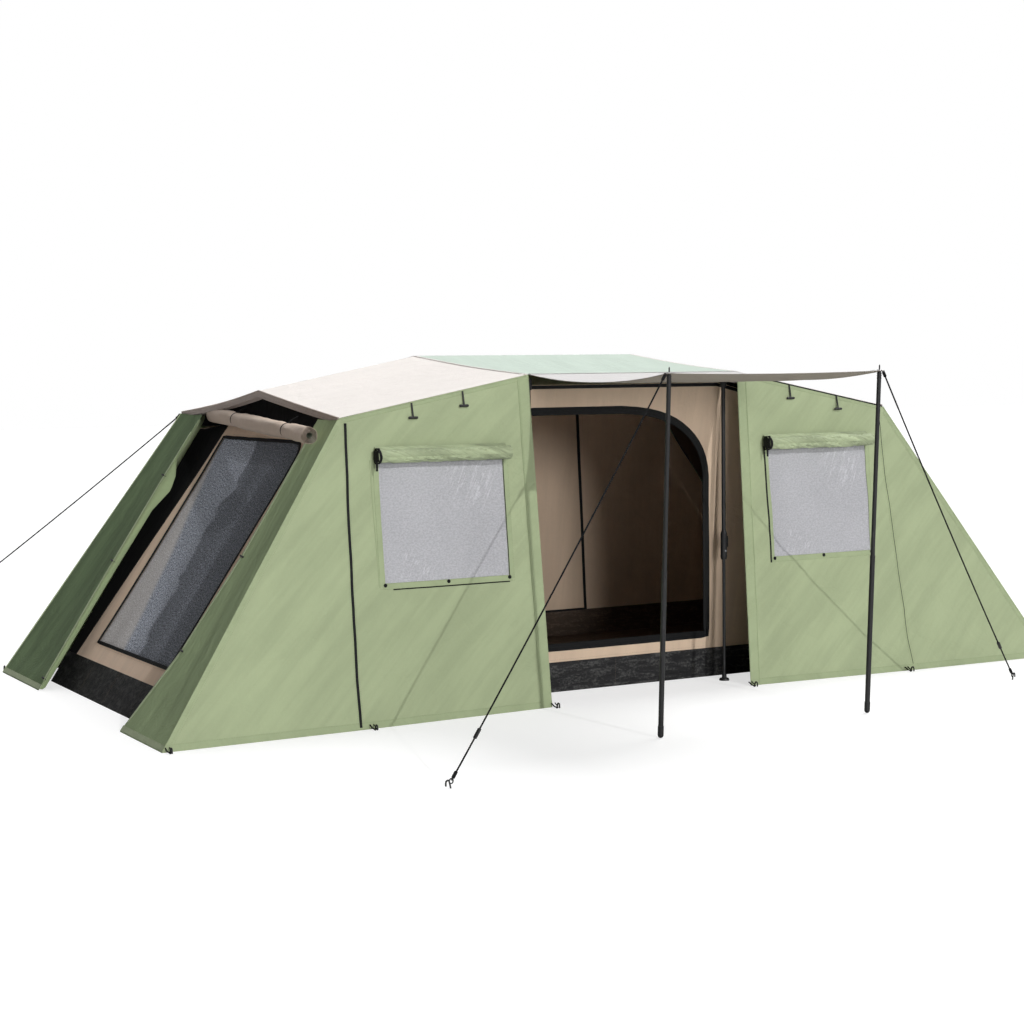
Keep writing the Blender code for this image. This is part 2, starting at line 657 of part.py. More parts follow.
def front_wall_y(x, z):
    """How far out the front wall stands at a place between the seam and the doorway."""
    share = (x - EAVE_CENTRE.x) / (EAVE_END.x - EAVE_CENTRE.x)
    ground = GROUND_CENTRE.y + (GROUND_SEAM.y - GROUND_CENTRE.y) * share
    eave = EAVE_CENTRE.lerp(EAVE_END, share)
    return ground + (eave.y - ground) * z / eave.z


def rolled_covers():
    """Window covers rolled up over the front windows, and end covers over the end windows."""
    near, far = WINDOW_ROLL_X
    proud = WINDOW_ROLL_RADIUS + 0.006
    for place, x_sign in (("left", -1), ("right", 1)):
        ends = []
        for x in (near, far):
            ends.append(Vector((x * x_sign, -front_wall_y(x, WINDOW_ROLL_Z) - proud, WINDOW_ROLL_Z)))
        mesh = rod("roll", *ends, WINDOW_ROLL_RADIUS, 16)
        node("window_cover_roll_" + place, mesh, "fly_green")
        back, front = mirrored(END_ROLL_BACK, x_sign), mirrored(END_ROLL_FRONT[place], x_sign)
        mesh = rod("roll", front, back, END_ROLL_RADIUS, 16)
        node("end_cover_roll_" + place, mesh, "inner_tan")


def guy_rope(name, start, peg):
    """A taut rope with a slight sag, as a curve with a round bevel."""
    steps = 15
    curve = bpy.data.curves.new(name, "CURVE")
    curve.dimensions = "3D"
    curve.bevel_depth = GUY_DIAMETER / 2.0
    curve.bevel_resolution = 2
    curve.use_fill_caps = True
    way = (peg - start).normalized()
    first, last = start + way * 0.012, peg - way * 0.004
    spline = curve.splines.new("POLY")
    spline.points.add(steps)
    for k in range(steps + 1):
        share = k / steps
        point = first.lerp(last, share) - Vector((0, 0, GUY_SAG * 4.0 * share * (1.0 - share)))
        spline.points[k].co = (*point, 1.0)
    curve.materials.append(material("guy_black"))
    rope = bpy.data.objects.new(name, curve)
    bpy.context.scene.collection.objects.link(rope)


def build():
    for thing in list(bpy.data.objects):
        bpy.data.objects.remove(thing, do_unlink=True)
    quarters = [("front_left", -1, -1), ("front_right", 1, -1), ("back_left", -1, 1), ("back_right", 1, 1)]
    ridge_pole()
    for side_name, x_sign in (("left", -1), ("right", 1)):
        hub(side_name, x_sign)
        awning_pole(side_name, x_sign)
    for place, x_sign, y_sign in quarters:
        centre_arm("centre_arm_" + place, x_sign, y_sign)
        end_arm("end_arm_" + place, x_sign, y_sign)
        centre_leg(place, x_sign, y_sign)
        end_leg(place, x_sign, y_sign)
    fly_roofs()
    fly_walls()
    awning_canopy()
    inner_floor()
    inner_walls()
    inner_ceiling()
    rolled_covers()
    for name, (start, peg) in GUY_ENDS.items():
        guy_rope(name, start, peg)


build()
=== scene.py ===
"""Visual model of an instant-up frame tent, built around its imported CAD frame.

Metres, +Z up, in the CAD model's frame: +X along the long side, -Y out of the front doorway.
A hand is left or right, as seen from the front, and a row is front or back. sx and sy are the signs of
X and Y on the side where a piece stands.
"""
import math

import bmesh
import bpy
import numpy as np
from mathutils import Matrix, Vector, noise
from mathutils.geometry import delaunay_2d_cdt
from mathutils.kdtree import KDTree


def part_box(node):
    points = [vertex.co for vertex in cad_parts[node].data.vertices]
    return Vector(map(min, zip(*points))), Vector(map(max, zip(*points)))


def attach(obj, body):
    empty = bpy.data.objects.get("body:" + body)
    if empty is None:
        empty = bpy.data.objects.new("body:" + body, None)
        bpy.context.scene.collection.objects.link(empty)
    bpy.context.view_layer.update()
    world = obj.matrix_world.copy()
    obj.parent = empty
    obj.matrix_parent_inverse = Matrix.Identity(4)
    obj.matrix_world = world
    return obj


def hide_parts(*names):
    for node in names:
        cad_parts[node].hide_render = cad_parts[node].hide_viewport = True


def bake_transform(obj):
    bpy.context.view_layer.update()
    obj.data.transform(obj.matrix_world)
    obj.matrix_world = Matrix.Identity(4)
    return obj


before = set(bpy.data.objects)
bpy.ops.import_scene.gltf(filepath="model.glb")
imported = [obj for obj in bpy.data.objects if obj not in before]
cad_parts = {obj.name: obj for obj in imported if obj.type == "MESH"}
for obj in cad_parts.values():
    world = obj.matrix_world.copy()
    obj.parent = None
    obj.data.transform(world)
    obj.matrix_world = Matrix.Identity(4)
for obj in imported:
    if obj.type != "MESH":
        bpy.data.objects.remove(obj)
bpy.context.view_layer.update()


def vec(*xyz):
    return Vector(xyz)


# Outer tent, as corner positions in the +X, +Y quarter, as in the CAD model
RIDGE_HUB, RIDGE_END = vec(0.837, 0.0, 2.127), vec(1.952, 0.0, 1.913)
EAVE_CENTRE, EAVE_END = vec(0.767, 1.384, 2.000), vec(1.995, 1.334, 1.762)
GROUND_CENTRE, GROUND_SEAM = vec(0.733, 1.573, 0.0), vec(2.037, 1.640, 0.0)
GROUND_CORNER = vec(3.208, 1.666, 0.0)
AWNING_OUT_X, AWNING_OUT_Y = 0.742, 2.862
EYELET = vec(0.722, 2.842, 2.000)

# Inner tent
TUB_HEIGHT = 0.190
INNER_EAVE_Z, INNER_EAVE_END_Z = 1.925, 1.640
INNER_RIDGE_Z, INNER_RIDGE_END_Z = 1.990, 1.770
INNER_EAVE_X, INNER_RIDGE_X = 0.72, 0.80
DOOR_LEFT, DOOR_RIGHT = -0.68, 0.70
DOOR_BOTTOM, DOOR_TOP = 0.285, 1.770
DOOR_ROUND, DOOR_SQUARE = (0.66, 0.534), 0.78

# Windows in the front walls and in the inner tent's ends
WINDOW_NEAR = {-1: 0.965, 1: 0.990}
WINDOW_FAR_LOW, WINDOW_FAR_HIGH = 1.785, {-1: 1.770, 1: 1.822}
WINDOW_LOW, WINDOW_HIGH = 0.805, 1.515
END_WINDOW_LOW, END_WINDOW_HIGH, END_WINDOW_HALF = 0.30, 1.60, 0.68
END_ROLL_FRONT = {"left": vec(-2.165, -1.310, 1.668), "right": vec(1.960, -1.150, 1.705)}

# Foot and top of cloth that hangs from the roof to the ground
BENDS = {"wall": ((0.0, 0.0, 0.02), (0.0, 0.0, 1.78)), "inner": ((0.0, 0.0, 0.02), (0.0, 0.0, 1.64))}

CLOTH = 0.0015
SHARP_ANGLE = math.radians(42.0)
GUY_DIAMETER, GUY_SAG, GUY_STEPS = 0.009, 0.02, 15
GUY_ENDS = {
    "guy_awning_left": (vec(-0.750, -2.850, 1.996), vec(-2.29, -3.27, 0.035)),
    "guy_awning_right": (vec(0.750, -2.840, 1.996), vec(2.27, -2.30, 0.035)),
    "guy_back_left": (vec(-2.000, 1.347, 1.745), vec(-4.09, 2.00, 0.035)),
    "guy_back_right": (vec(2.000, 1.347, 1.745), vec(3.62, 2.20, 0.035)),
}
SIDES, ROWS = (("left", -1), ("right", 1)), (("front", -1), ("back", 1))
QUARTERS = [(sx, sy) for sx in (-1, 1) for sy in (-1, 1)]
UP = vec(0.0, 0.0, 1.0)
# Far points that the outsides of sheets face
FRONT, BACK, HIGH = vec(0.0, -20.0, 1.0), vec(0.0, 20.0, 1.0), UP * 30.0


def lerp(a, b, share):
    return a + (b - a) * share


def smooth(share):
    share = min(max(share, 0.0), 1.0)
    return share * share * (3.0 - 2.0 * share)


def hump(share):
    """0 at both ends and 1 halfway."""
    return math.sin(math.pi * share)


def bell(distance, reach):
    return math.exp(-(distance / reach) ** 2)


def ripple(a, b, c):
    """Smooth noise between about -1 and 1."""
    return noise.noise(vec(a, b, c))


def spoke(side, other, angle):
    """A ray at an angle, counted from side towards other."""
    return side * math.cos(angle) + other * math.sin(angle)


def angles(count):
    """Even steps round a circle."""
    return [2.0 * math.pi * k / count for k in range(count)]


def sides_of(loop):
    """Each side of a closed outline, as its two ends."""
    return zip(loop, loop[1:] + loop[:1])


def along(stops, at):
    """The value at a place between (place, value) stops."""
    for (a, low), (b, high) in zip(stops, stops[1:]):
        if at <= b:
            return lerp(low, high, max(at - a, 0.0) / (b - a))
    return stops[-1][1]


def inner_length(z):
    """Half the inner tent's length at a height."""
    return 3.03 - 0.68 * z


def inner_width(z):
    """Half the inner tent's width at a height."""
    return 1.110 + 0.065 * z


def show(name, data):
    thing = bpy.data.objects.new(name, data)
    bpy.context.scene.collection.objects.link(thing)
    return thing


# ---------------------------------------------------------------- camera and lights


def add_camera():
    """The photograph's viewpoint: eye height, from the front left."""
    yaw, pitch, roll = 0.5058, 0.0729, -0.0116
    ahead = vec(math.sin(yaw) * math.cos(pitch), math.cos(yaw) * math.cos(pitch), -math.sin(pitch))
    level = vec(math.cos(yaw), -math.sin(yaw), 0.0)
    up = level.cross(ahead)
    side = level * math.cos(roll) + up * math.sin(roll)
    top = up * math.cos(roll) - level * math.sin(roll)
    data = bpy.data.cameras.new("camera")
    data.lens, data.sensor_width = 68.3, 36.0
    thing = show("camera", data)
    thing.matrix_world = Matrix((side, top, -ahead)).transposed().to_4x4()
    thing.matrix_world.translation = vec(-6.5421, -11.5891, 2.0266)
    bpy.context.scene.camera = thing


def add_light(name, kind, towards, energy, **settings):
    data = bpy.data.lights.new(name, kind)
    data.energy = energy
    for key, value in settings.items():
        setattr(data, key, value)
    thing = show(name, data)
    thing.rotation_euler = Vector(towards).to_track_quat("Z", "Y").to_euler()
    return thing


def add_stage():
    """Low frontal key, soft top light, daylight inside, a pale surround and a pale floor."""
    add_light("key", "SUN", (0.10, -1.4, 0.69), 1.22, angle=math.radians(0.6))
    add_light("front_fill", "SUN", (-0.20, -1.0, 0.12), 1.0, angle=math.radians(12.0))
    add_light("overhead", "SUN", (0.55, 0.25, 0.80), 3.2, angle=math.radians(30.0))
    inside = add_light("inside", "AREA", (0.30, -1.0, 0.06), 1.6, shape="RECTANGLE", size=1.3, size_y=0.5)
    inside.location = (-0.20, -0.35, 0.95)
    inside.visible_camera = False
    world = bpy.data.worlds.new("studio")
    bpy.context.scene.world = world
    g = Graph(world)
    across = g.add("SeparateXYZ", Vector=g.add("TexCoord").outputs["Generated"]).outputs["X"]
    fill = g.fill(g.tree.nodes["Background"], Color=(0.8, 0.8, 0.8), Strength=g.scaled(across, 0.17, 0.27))
    g.mix_shaders(g.seen_by_camera(), fill, g.add("Background", Color=(1.0, 1.0, 1.0)))

    mesh = bpy.data.meshes.new("floor")
    reach = 60.0
    mesh.from_pydata([(-reach, -reach, 0), (reach, -reach, 0), (reach, reach, 0), (-reach, reach, 0)],
                     [], [(0, 1, 2, 3)])
    floor = show("floor", mesh)
    g = Graph(bpy.data.materials.new("floor_white"))
    g.fill(g.shader, Base_Color=(0.50, 0.50, 0.50), Roughness=0.9)
    shown = g.add("AddShader")
    g.put(shown.inputs[0], g.add("BsdfDiffuse", Color=(0.44, 0.44, 0.44)).outputs[0])
    g.put(shown.inputs[1], g.add("Emission", Color=(1.0, 1.0, 1.0), Strength=0.64).outputs[0])
    g.mix_shaders(g.seen_by_camera(), g.shader, shown)
    mesh.materials.append(g.owner)
    bpy.context.scene.view_settings.view_transform = "Standard"


# ---------------------------------------------------------------- materials


class Graph:
    """The nodes of a material or a world, with short calls to add and join them."""

    def __init__(self, owner):
        owner.use_nodes = True
        self.owner, self.tree = owner, owner.node_tree
        self.shader = self.tree.nodes.get("Principled BSDF")
        self.out = next(node for node in self.tree.nodes if "Surface" in node.inputs)

    def put(self, socket, value):
        """An input joined to an output or set to a value. A colour is three numbers."""
        if isinstance(value, bpy.types.NodeSocket):
            self.tree.links.new(value, socket)
        else:
            socket.default_value = (*value, 1.0) if socket.type == "RGBA" else value

    def fill(self, node, **inputs):
        for key, value in inputs.items():
            self.put(node.inputs[key.replace("_", " ")], value)
        return node

    def add(self, kind, settings=None, **inputs):
        node = self.tree.nodes.new("ShaderNode" + kind)
        for key, value in (settings or {}).items():
            setattr(node, key, value)
        return self.fill(node, **inputs)

    def maths(self, operation, *values):
        node = self.add("Math", {"operation": operation})
        for socket, value in zip(node.inputs, values):
            self.put(socket, value)
        return node.outputs[0]

    def times(self, a, b):
        return self.maths("MULTIPLY", a, b)

    def scaled(self, value, by, plus):
        return self.maths("MULTIPLY_ADD", value, by, plus)

    def off_half(self, value):
        """Distance from a half."""
        return self.maths("ABSOLUTE", self.maths("SUBTRACT", value, 0.5))

    def places(self):
        node = self.add("TexCoord")
        return node.outputs["UV"], node.outputs["Object"]

    def noise(self, vector, scale, detail=3.0, rough=0.55, twist=0.0):
        """Cloudy noise; its scale is one number or one for each axis."""
        if isinstance(scale, tuple):
            vector, scale = self.stretched(vector, scale), 1.0
        node = self.add("TexNoise", Vector=vector, Scale=scale, Detail=detail, Roughness=rough,
                        Distortion=twist)
        return node.outputs["Fac"]

    def stretched(self, vector, scale):
        return self.add("Mapping", Vector=vector, Scale=scale).outputs[0]

    def turned(self, vector, angle):
        return self.add("Mapping", Vector=vector, Rotation=(0.0, 0.0, angle)).outputs[0]

    def bands(self, vector, direction, pitch):
        """Even ridges across one direction, a pitch apart in metres."""
        scale = math.pi / (10.0 * pitch)
        node = self.add("TexWave", {"bands_direction": direction}, Vector=vector, Scale=scale)
        return node.outputs["Fac"]

    def basket(self, vector, pitch, operation="MAXIMUM"):
        return self.maths(operation, self.bands(vector, "X", pitch), self.bands(vector, "Y", pitch))

    def tint(self, colour, factor):
        """The colour made lighter or darker by a factor socket."""
        node = self.add("VectorMath", {"operation": "SCALE"}, Scale=factor)
        self.put(node.inputs[0], colour)
        return node.outputs[0]

    def blend(self, factor, first, second):
        node = self.add("Mix", {"data_type": "RGBA"})
        for k, value in ((0, factor), (6, first), (7, second)):
            self.put(node.inputs[k], value)
        return node.outputs[2]

    def steep(self, value, low, high, out_low=0.0, out_high=1.0):
        node = self.add("MapRange", {"interpolation_type": "SMOOTHSTEP"}, Value=value, From_Min=low,
                        From_Max=high, To_Min=out_low, To_Max=out_high)
        return node.outputs[0]

    def bump(self, *layers):
        """Bumps stacked on each other, each a (height, distance, strength)."""
        normal = None
        for height, distance, strength in layers:
            node = self.add("Bump", Height=height, Distance=distance, Strength=strength)
            if normal is not None:
                self.put(node.inputs["Normal"], normal)
            normal = node.outputs[0]
        self.put(self.shader.inputs["Normal"], normal)
        return normal

    def seen_by_camera(self):
        return self.add("LightPath").outputs["Is Camera Ray"]

    def mix_shaders(self, factor, first, second):
        """Two shader nodes mixed at the output."""
        node = self.add("MixShader", Fac=factor)
        self.put(node.inputs[1], first.outputs[0])
        self.put(node.inputs[2], second.outputs[0])
        self.put(self.out.inputs["Surface"], node.outputs[0])


MATS = {}


def begin(key, name):
    """A new material's graph, with its cloth and object coordinates."""
    g = Graph(bpy.data.materials.new(name))
    MATS[key] = g.owner
    return (g, *g.places())


def fabric(key, colour, mottle=0.06, crease=0.0030, through=0.10, sheen=0.12, fold_shade=0.0, lean=63.0,
           lines=0.0):
    """Woven tent cloth: a fine basket weave, slubs, soft handling creases and light that comes through.

    Fold shade is painted shade and light in faint bands along the folds, at a lean from the cloth's first
    direction.
    Lines are painted crease shade: thin dark lines that run the same way.
    """
    g, uv, world = begin(key, "cloth_" + key)
    broad = g.noise(world, 1.6, 5.0, 0.6)
    patches = g.noise(world, 7.0, 3.0, 0.5, 0.4)
    slubs = g.maths("ADD", g.noise(uv, (18.0, 520.0, 1.0), 2.0), g.noise(uv, (520.0, 18.0, 1.0), 2.0))
    shade = g.scaled(broad, 2.0 * mottle, 1.0 - mottle)
    shade = g.scaled(g.maths("SUBTRACT", patches, 0.5), mottle, shade)
    turned = g.turned(uv, math.radians(-lean))
    bands = g.noise(turned, (0.9, 6.5, 1.0), 3.0, 0.55, 0.35)
    wisps = g.noise(turned, (2.4, 26.0, 1.0), 3.0, 0.6, 0.5)
    # painted shade and light: the cloth made darker and lighter in bands along the folds
    fold_shade_mask = g.maths("ADD", g.times(bands, 0.7), g.times(wisps, 0.3))
    shade = g.times(shade, g.steep(fold_shade_mask, 0.34, 0.66, 1.0 - fold_shade, 1.0 + fold_shade))
    # painted shade: thin dark lines where creases would fall in shade
    if lines:
        thin = g.noise(turned, (2.4, 30.0, 1.0), 2.0, 0.5, 0.8)
        shade = g.times(shade, g.steep(g.off_half(thin), 0.0, 0.045, 1.0 - lines, 1.0))
    g.fill(g.shader, Base_Color=g.tint(colour, g.times(shade, g.scaled(slubs, 0.10, 0.90))),
           Roughness=g.scaled(patches, 0.10, 0.77), Sheen_Weight=sheen, Sheen_Roughness=0.5,
           Specular_IOR_Level=0.25)
    creases = g.noise(uv, 5.5, 4.0, 0.6, 0.9)
    small = g.noise(uv, 38.0, 3.0, 0.55, 0.3)
    normal = g.bump((creases, crease * 8.0, 0.32), (wisps, crease * 2.2, 0.4), (small, crease * 0.35, 0.45),
                    (g.basket(uv, 0.0014), 0.00025, 0.35))
    if through > 0.0:
        thin = g.add("BsdfTranslucent", Color=[min(1.0, c * 1.25) for c in colour], Normal=normal)
        g.mix_shaders(through, g.shader, thin)


PULLED_CORNERS = (((0.62, 0.58, 0.0), 0.26), ((0.20, 0.05, 0.0), 0.18))


def netting(key, thread, gap, pitch, speckle, contrast, blister_shading, painted_glare=0.0, crease_highlight=0.0):
    """Knitted insect mesh: holes that read as a speckle, puckers with painted light and shade, a painted
    glare and lit patch, and two pulled corners with painted highlights on their creases.
    """
    g, uv, world = begin(key, key)
    grain = g.noise(uv, speckle, 2.0, 0.7)
    mixed = g.maths("ADD", g.times(g.basket(uv, pitch, "MULTIPLY"), 0.35), g.times(grain, 0.75))
    share = g.steep(mixed, 0.45 - contrast, 0.45 + contrast)
    broad = g.scaled(g.noise(world, 3.0, 3.0), 0.20, 0.90)
    blister = g.noise(uv, (75.0, 105.0, 1.0), 3.0, 0.6, 0.4)
    # painted light and shade: the mesh lighter and darker with its blisters
    broad = g.times(broad, g.steep(blister, 0.36, 0.64, 1.0 - blister_shading, 1.0 + blister_shading))
    split = g.add("SeparateXYZ", Vector=uv)
    slope = g.scaled(split.outputs["Y"], -0.08, split.outputs["X"])
    # painted glare: the mesh made lighter beyond a ragged slanting edge
    glare_edge = g.scaled(g.noise(uv, 3.2, 2.0, 0.4, 1.2), 0.6, slope)
    broad = g.times(broad, g.steep(glare_edge, 0.22, 0.30, 1.0, 1.0 + painted_glare))
    # painted light: a warm pale lit patch blended in towards one side
    near = g.scaled(split.outputs["Y"], -0.40, split.outputs["X"])
    lit = g.steep(near, 0.04, 0.12, 0.0, 0.55 if painted_glare else 0.0)
    lines = g.noise(g.turned(uv, math.radians(-62.0)), (2.6, 34.0, 1.0), 2.0, 0.5, 0.7)
    held = 0.0
    for corner, reach in PULLED_CORNERS:
        gap_to = g.add("VectorMath", {"operation": "DISTANCE"})
        g.put(gap_to.inputs[0], uv)
        g.put(gap_to.inputs[1], corner)
        held = g.maths("ADD", g.steep(gap_to.outputs["Value"], 0.3 * reach, reach, 1.0, 0.0), held)
    pulled = g.times(g.steep(g.off_half(lines), 0.0, 0.035, 1.0, 0.0), held)
    # painted highlight: the mesh made lighter along the pulled creases
    broad = g.times(broad, g.scaled(pulled, crease_highlight, 1.0))
    pale = g.tint((0.74, 0.68, 0.62), g.scaled(grain, 0.9, 0.55))
    mesh = g.tint(g.blend(share, thread, gap), broad)
    g.fill(g.shader, Base_Color=g.blend(lit, mesh, pale), Roughness=0.75, Specular_IOR_Level=0.3)
    creases = g.noise(g.stretched(uv, (3.0, 9.0, 1.0)), 2.2, 4.0, 0.6, 1.1)
    g.bump((creases, 0.012, 0.35), (pulled, 0.0030, 0.5), (blister, 0.0045, 0.55), (grain, 0.0008, 0.5))


def tarpaulin(key, colour, pale, shine):
    """Coated groundsheet: crinkled, with pale creases along the folds, painted as highlights on the crinkles.
    """
    g, uv, _ = begin(key, key)
    creases = g.noise(uv, (9.0, 30.0, 1.0), 5.0, 0.65, 0.8)
    crackle = g.noise(uv, 70.0, 4.0, 0.7, 0.5)
    # painted highlight: pale colour on the crinkled creases
    wear_and_highlight = g.steep(g.times(creases, crackle), 0.22, 0.36)
    g.fill(g.shader, Base_Color=g.blend(wear_and_highlight, colour, pale), Roughness=g.scaled(crackle, 0.35, shine),
           Specular_IOR_Level=0.45)
    g.bump((creases, 0.020, 0.5), (crackle, 0.003, 0.5), (g.basket(uv, 0.003), 0.0004, 0.4))


def coated(key, colour, rough, metallic=0.0, grain=900.0):
    """Powder-coated steel or moulded plastic: fine orange peel, dulled patches and rubbed specks."""
    g, _, world = begin(key, key)
    wear = g.noise(g.stretched(world, (14.0, 14.0, 3.0)), 2.0, 5.0, 0.65)
    scuffs = g.noise(world, (160.0, 160.0, 12.0), 3.0, 0.6)
    wear_and_highlight = g.times(g.steep(wear, 0.50, 0.72), g.steep(scuffs, 0.52, 0.70))
    g.fill(g.shader, Base_Color=g.blend(wear_and_highlight, colour, [lerp(c, 0.20, 0.35) for c in colour]),
           Roughness=g.scaled(wear, 0.22, rough - 0.11), Metallic=metallic)
    g.bump((wear, 0.0010, 0.10), (g.noise(world, grain, 2.0, 0.5), 0.00012, 0.35))


def webbing(key, colour, pitch=0.0022, rough=0.75):
    """Woven tape or cord: diagonal ribs along its length."""
    g, uv, world = begin(key, key)
    ribs = g.bands(g.turned(uv, 0.7), "X", pitch)
    shade = g.scaled(g.noise(world, 24.0, 4.0, 0.6), 0.5, g.scaled(ribs, 0.35, 0.55))
    g.fill(g.shader, Base_Color=g.tint(colour, shade), Roughness=rough, Specular_IOR_Level=0.2)
    g.bump((ribs, 0.0006, 0.6))


fabric("green", (0.405, 0.470, 0.284), crease=0.0040, fold_shade=0.075, lean=44.0)
# darker copy of the wall green: painted shade for the front end strips
fabric("green_strip_shade", (0.325, 0.410, 0.230), sheen=0.0, crease=0.0040, fold_shade=0.09, lean=80.0)
# darker copy of the wall green: painted shade for the strips' turned-in edges
fabric("green_return_shade", (0.270, 0.335, 0.185), through=0.05, fold_shade=0.06)
fabric("green_hem", (0.365, 0.430, 0.255), through=0.05, fold_shade=0.05)
fabric("green_roll", (0.375, 0.435, 0.268), through=0.0, crease=0.006, fold_shade=0.26, lean=20.0, lines=0.20)
fabric("green_dark", (0.200, 0.245, 0.160), through=0.05)
fabric("mint", (0.570, 0.670, 0.590), mottle=0.030, through=0.12, fold_shade=0.03, lean=75.0)
fabric("cream", (0.900, 0.850, 0.810), mottle=0.020, through=0.12, fold_shade=0.018, lean=12.0)
fabric("hem_grey", (0.430, 0.360, 0.320), mottle=0.05, through=0.05)
fabric("awning", (0.720, 0.705, 0.700), mottle=0.03, through=0.16)
# darker, browner copy of the awning cloth: painted shade for its underside and lower hems
fabric("awning_under", (0.400, 0.350, 0.290), mottle=0.03, through=0.16)
fabric("tan", (0.730, 0.565, 0.420), mottle=0.04, through=0.12, fold_shade=0.05, lean=84.0)
# lighter copy of the inner tan: painted light for the end walls
fabric("tan_end", (0.840, 0.635, 0.470), mottle=0.04, through=0.12, fold_shade=0.05, lean=84.0)
fabric("tan_roll", (0.520, 0.405, 0.320), mottle=0.06, through=0.0, crease=0.004)
# black cloth that stands in for shade: painted shade
fabric("wing_black", (0.004, 0.004, 0.0045), through=0.0, sheen=0.0)
fabric("wing_inside", (0.085, 0.062, 0.045), through=0.0, sheen=0.0)
# darker copy of the wall green: painted shade for the back end strips
fabric("green_painted_shade", (0.158, 0.222, 0.118), sheen=0.0, crease=0.0040, fold_shade=0.14, lean=82.0)
netting("net_pale", (0.495, 0.495, 0.520), (0.385, 0.385, 0.407), 0.0028, 260.0, 0.30, 0.10, crease_highlight=0.26)
netting("net_dark", (0.032, 0.039, 0.054), (0.300, 0.315, 0.350), 0.0035, 110.0, 0.14, 0.38, 1.1)
tarpaulin("tub", (0.005, 0.005, 0.006), (0.060, 0.060, 0.058), 0.42)
tarpaulin("tub_inside", (0.060, 0.040, 0.026), (0.120, 0.085, 0.060), 0.50)
coated("steel", (0.020, 0.020, 0.021), 0.42, 0.3)
coated("bare", (0.48, 0.48, 0.50), 0.34, 0.9)
coated("plastic", (0.012, 0.012, 0.013), 0.50, 0.0, 600.0)
coated("button", (0.28, 0.28, 0.29), 0.42, 0.0, 600.0)
webbing("web", (0.009, 0.0095, 0.010))
webbing("rope", (0.007, 0.007, 0.008), 0.004)
webbing("zip", (0.008, 0.0085, 0.009), 0.003, 0.55)
webbing("thread", (0.230, 0.275, 0.150), 0.001)
webbing("thread_pale", (0.560, 0.520, 0.480), 0.001)
webbing("thread_tan", (0.330, 0.250, 0.180), 0.001)


# ---------------------------------------------------------------- mesh building


def stations(points, closed):
    """Each point of a line with the direction through it and the distance run to it."""
    run, last = 0.0, len(points) - 1
    for k, point in enumerate(points):
        before = points[k - 1] if k or closed else point
        after = points[(k + 1) % len(points)] if k < last or closed else point
        if k:
            run += (point - before).length
        yield point, (after - before).normalized(), run


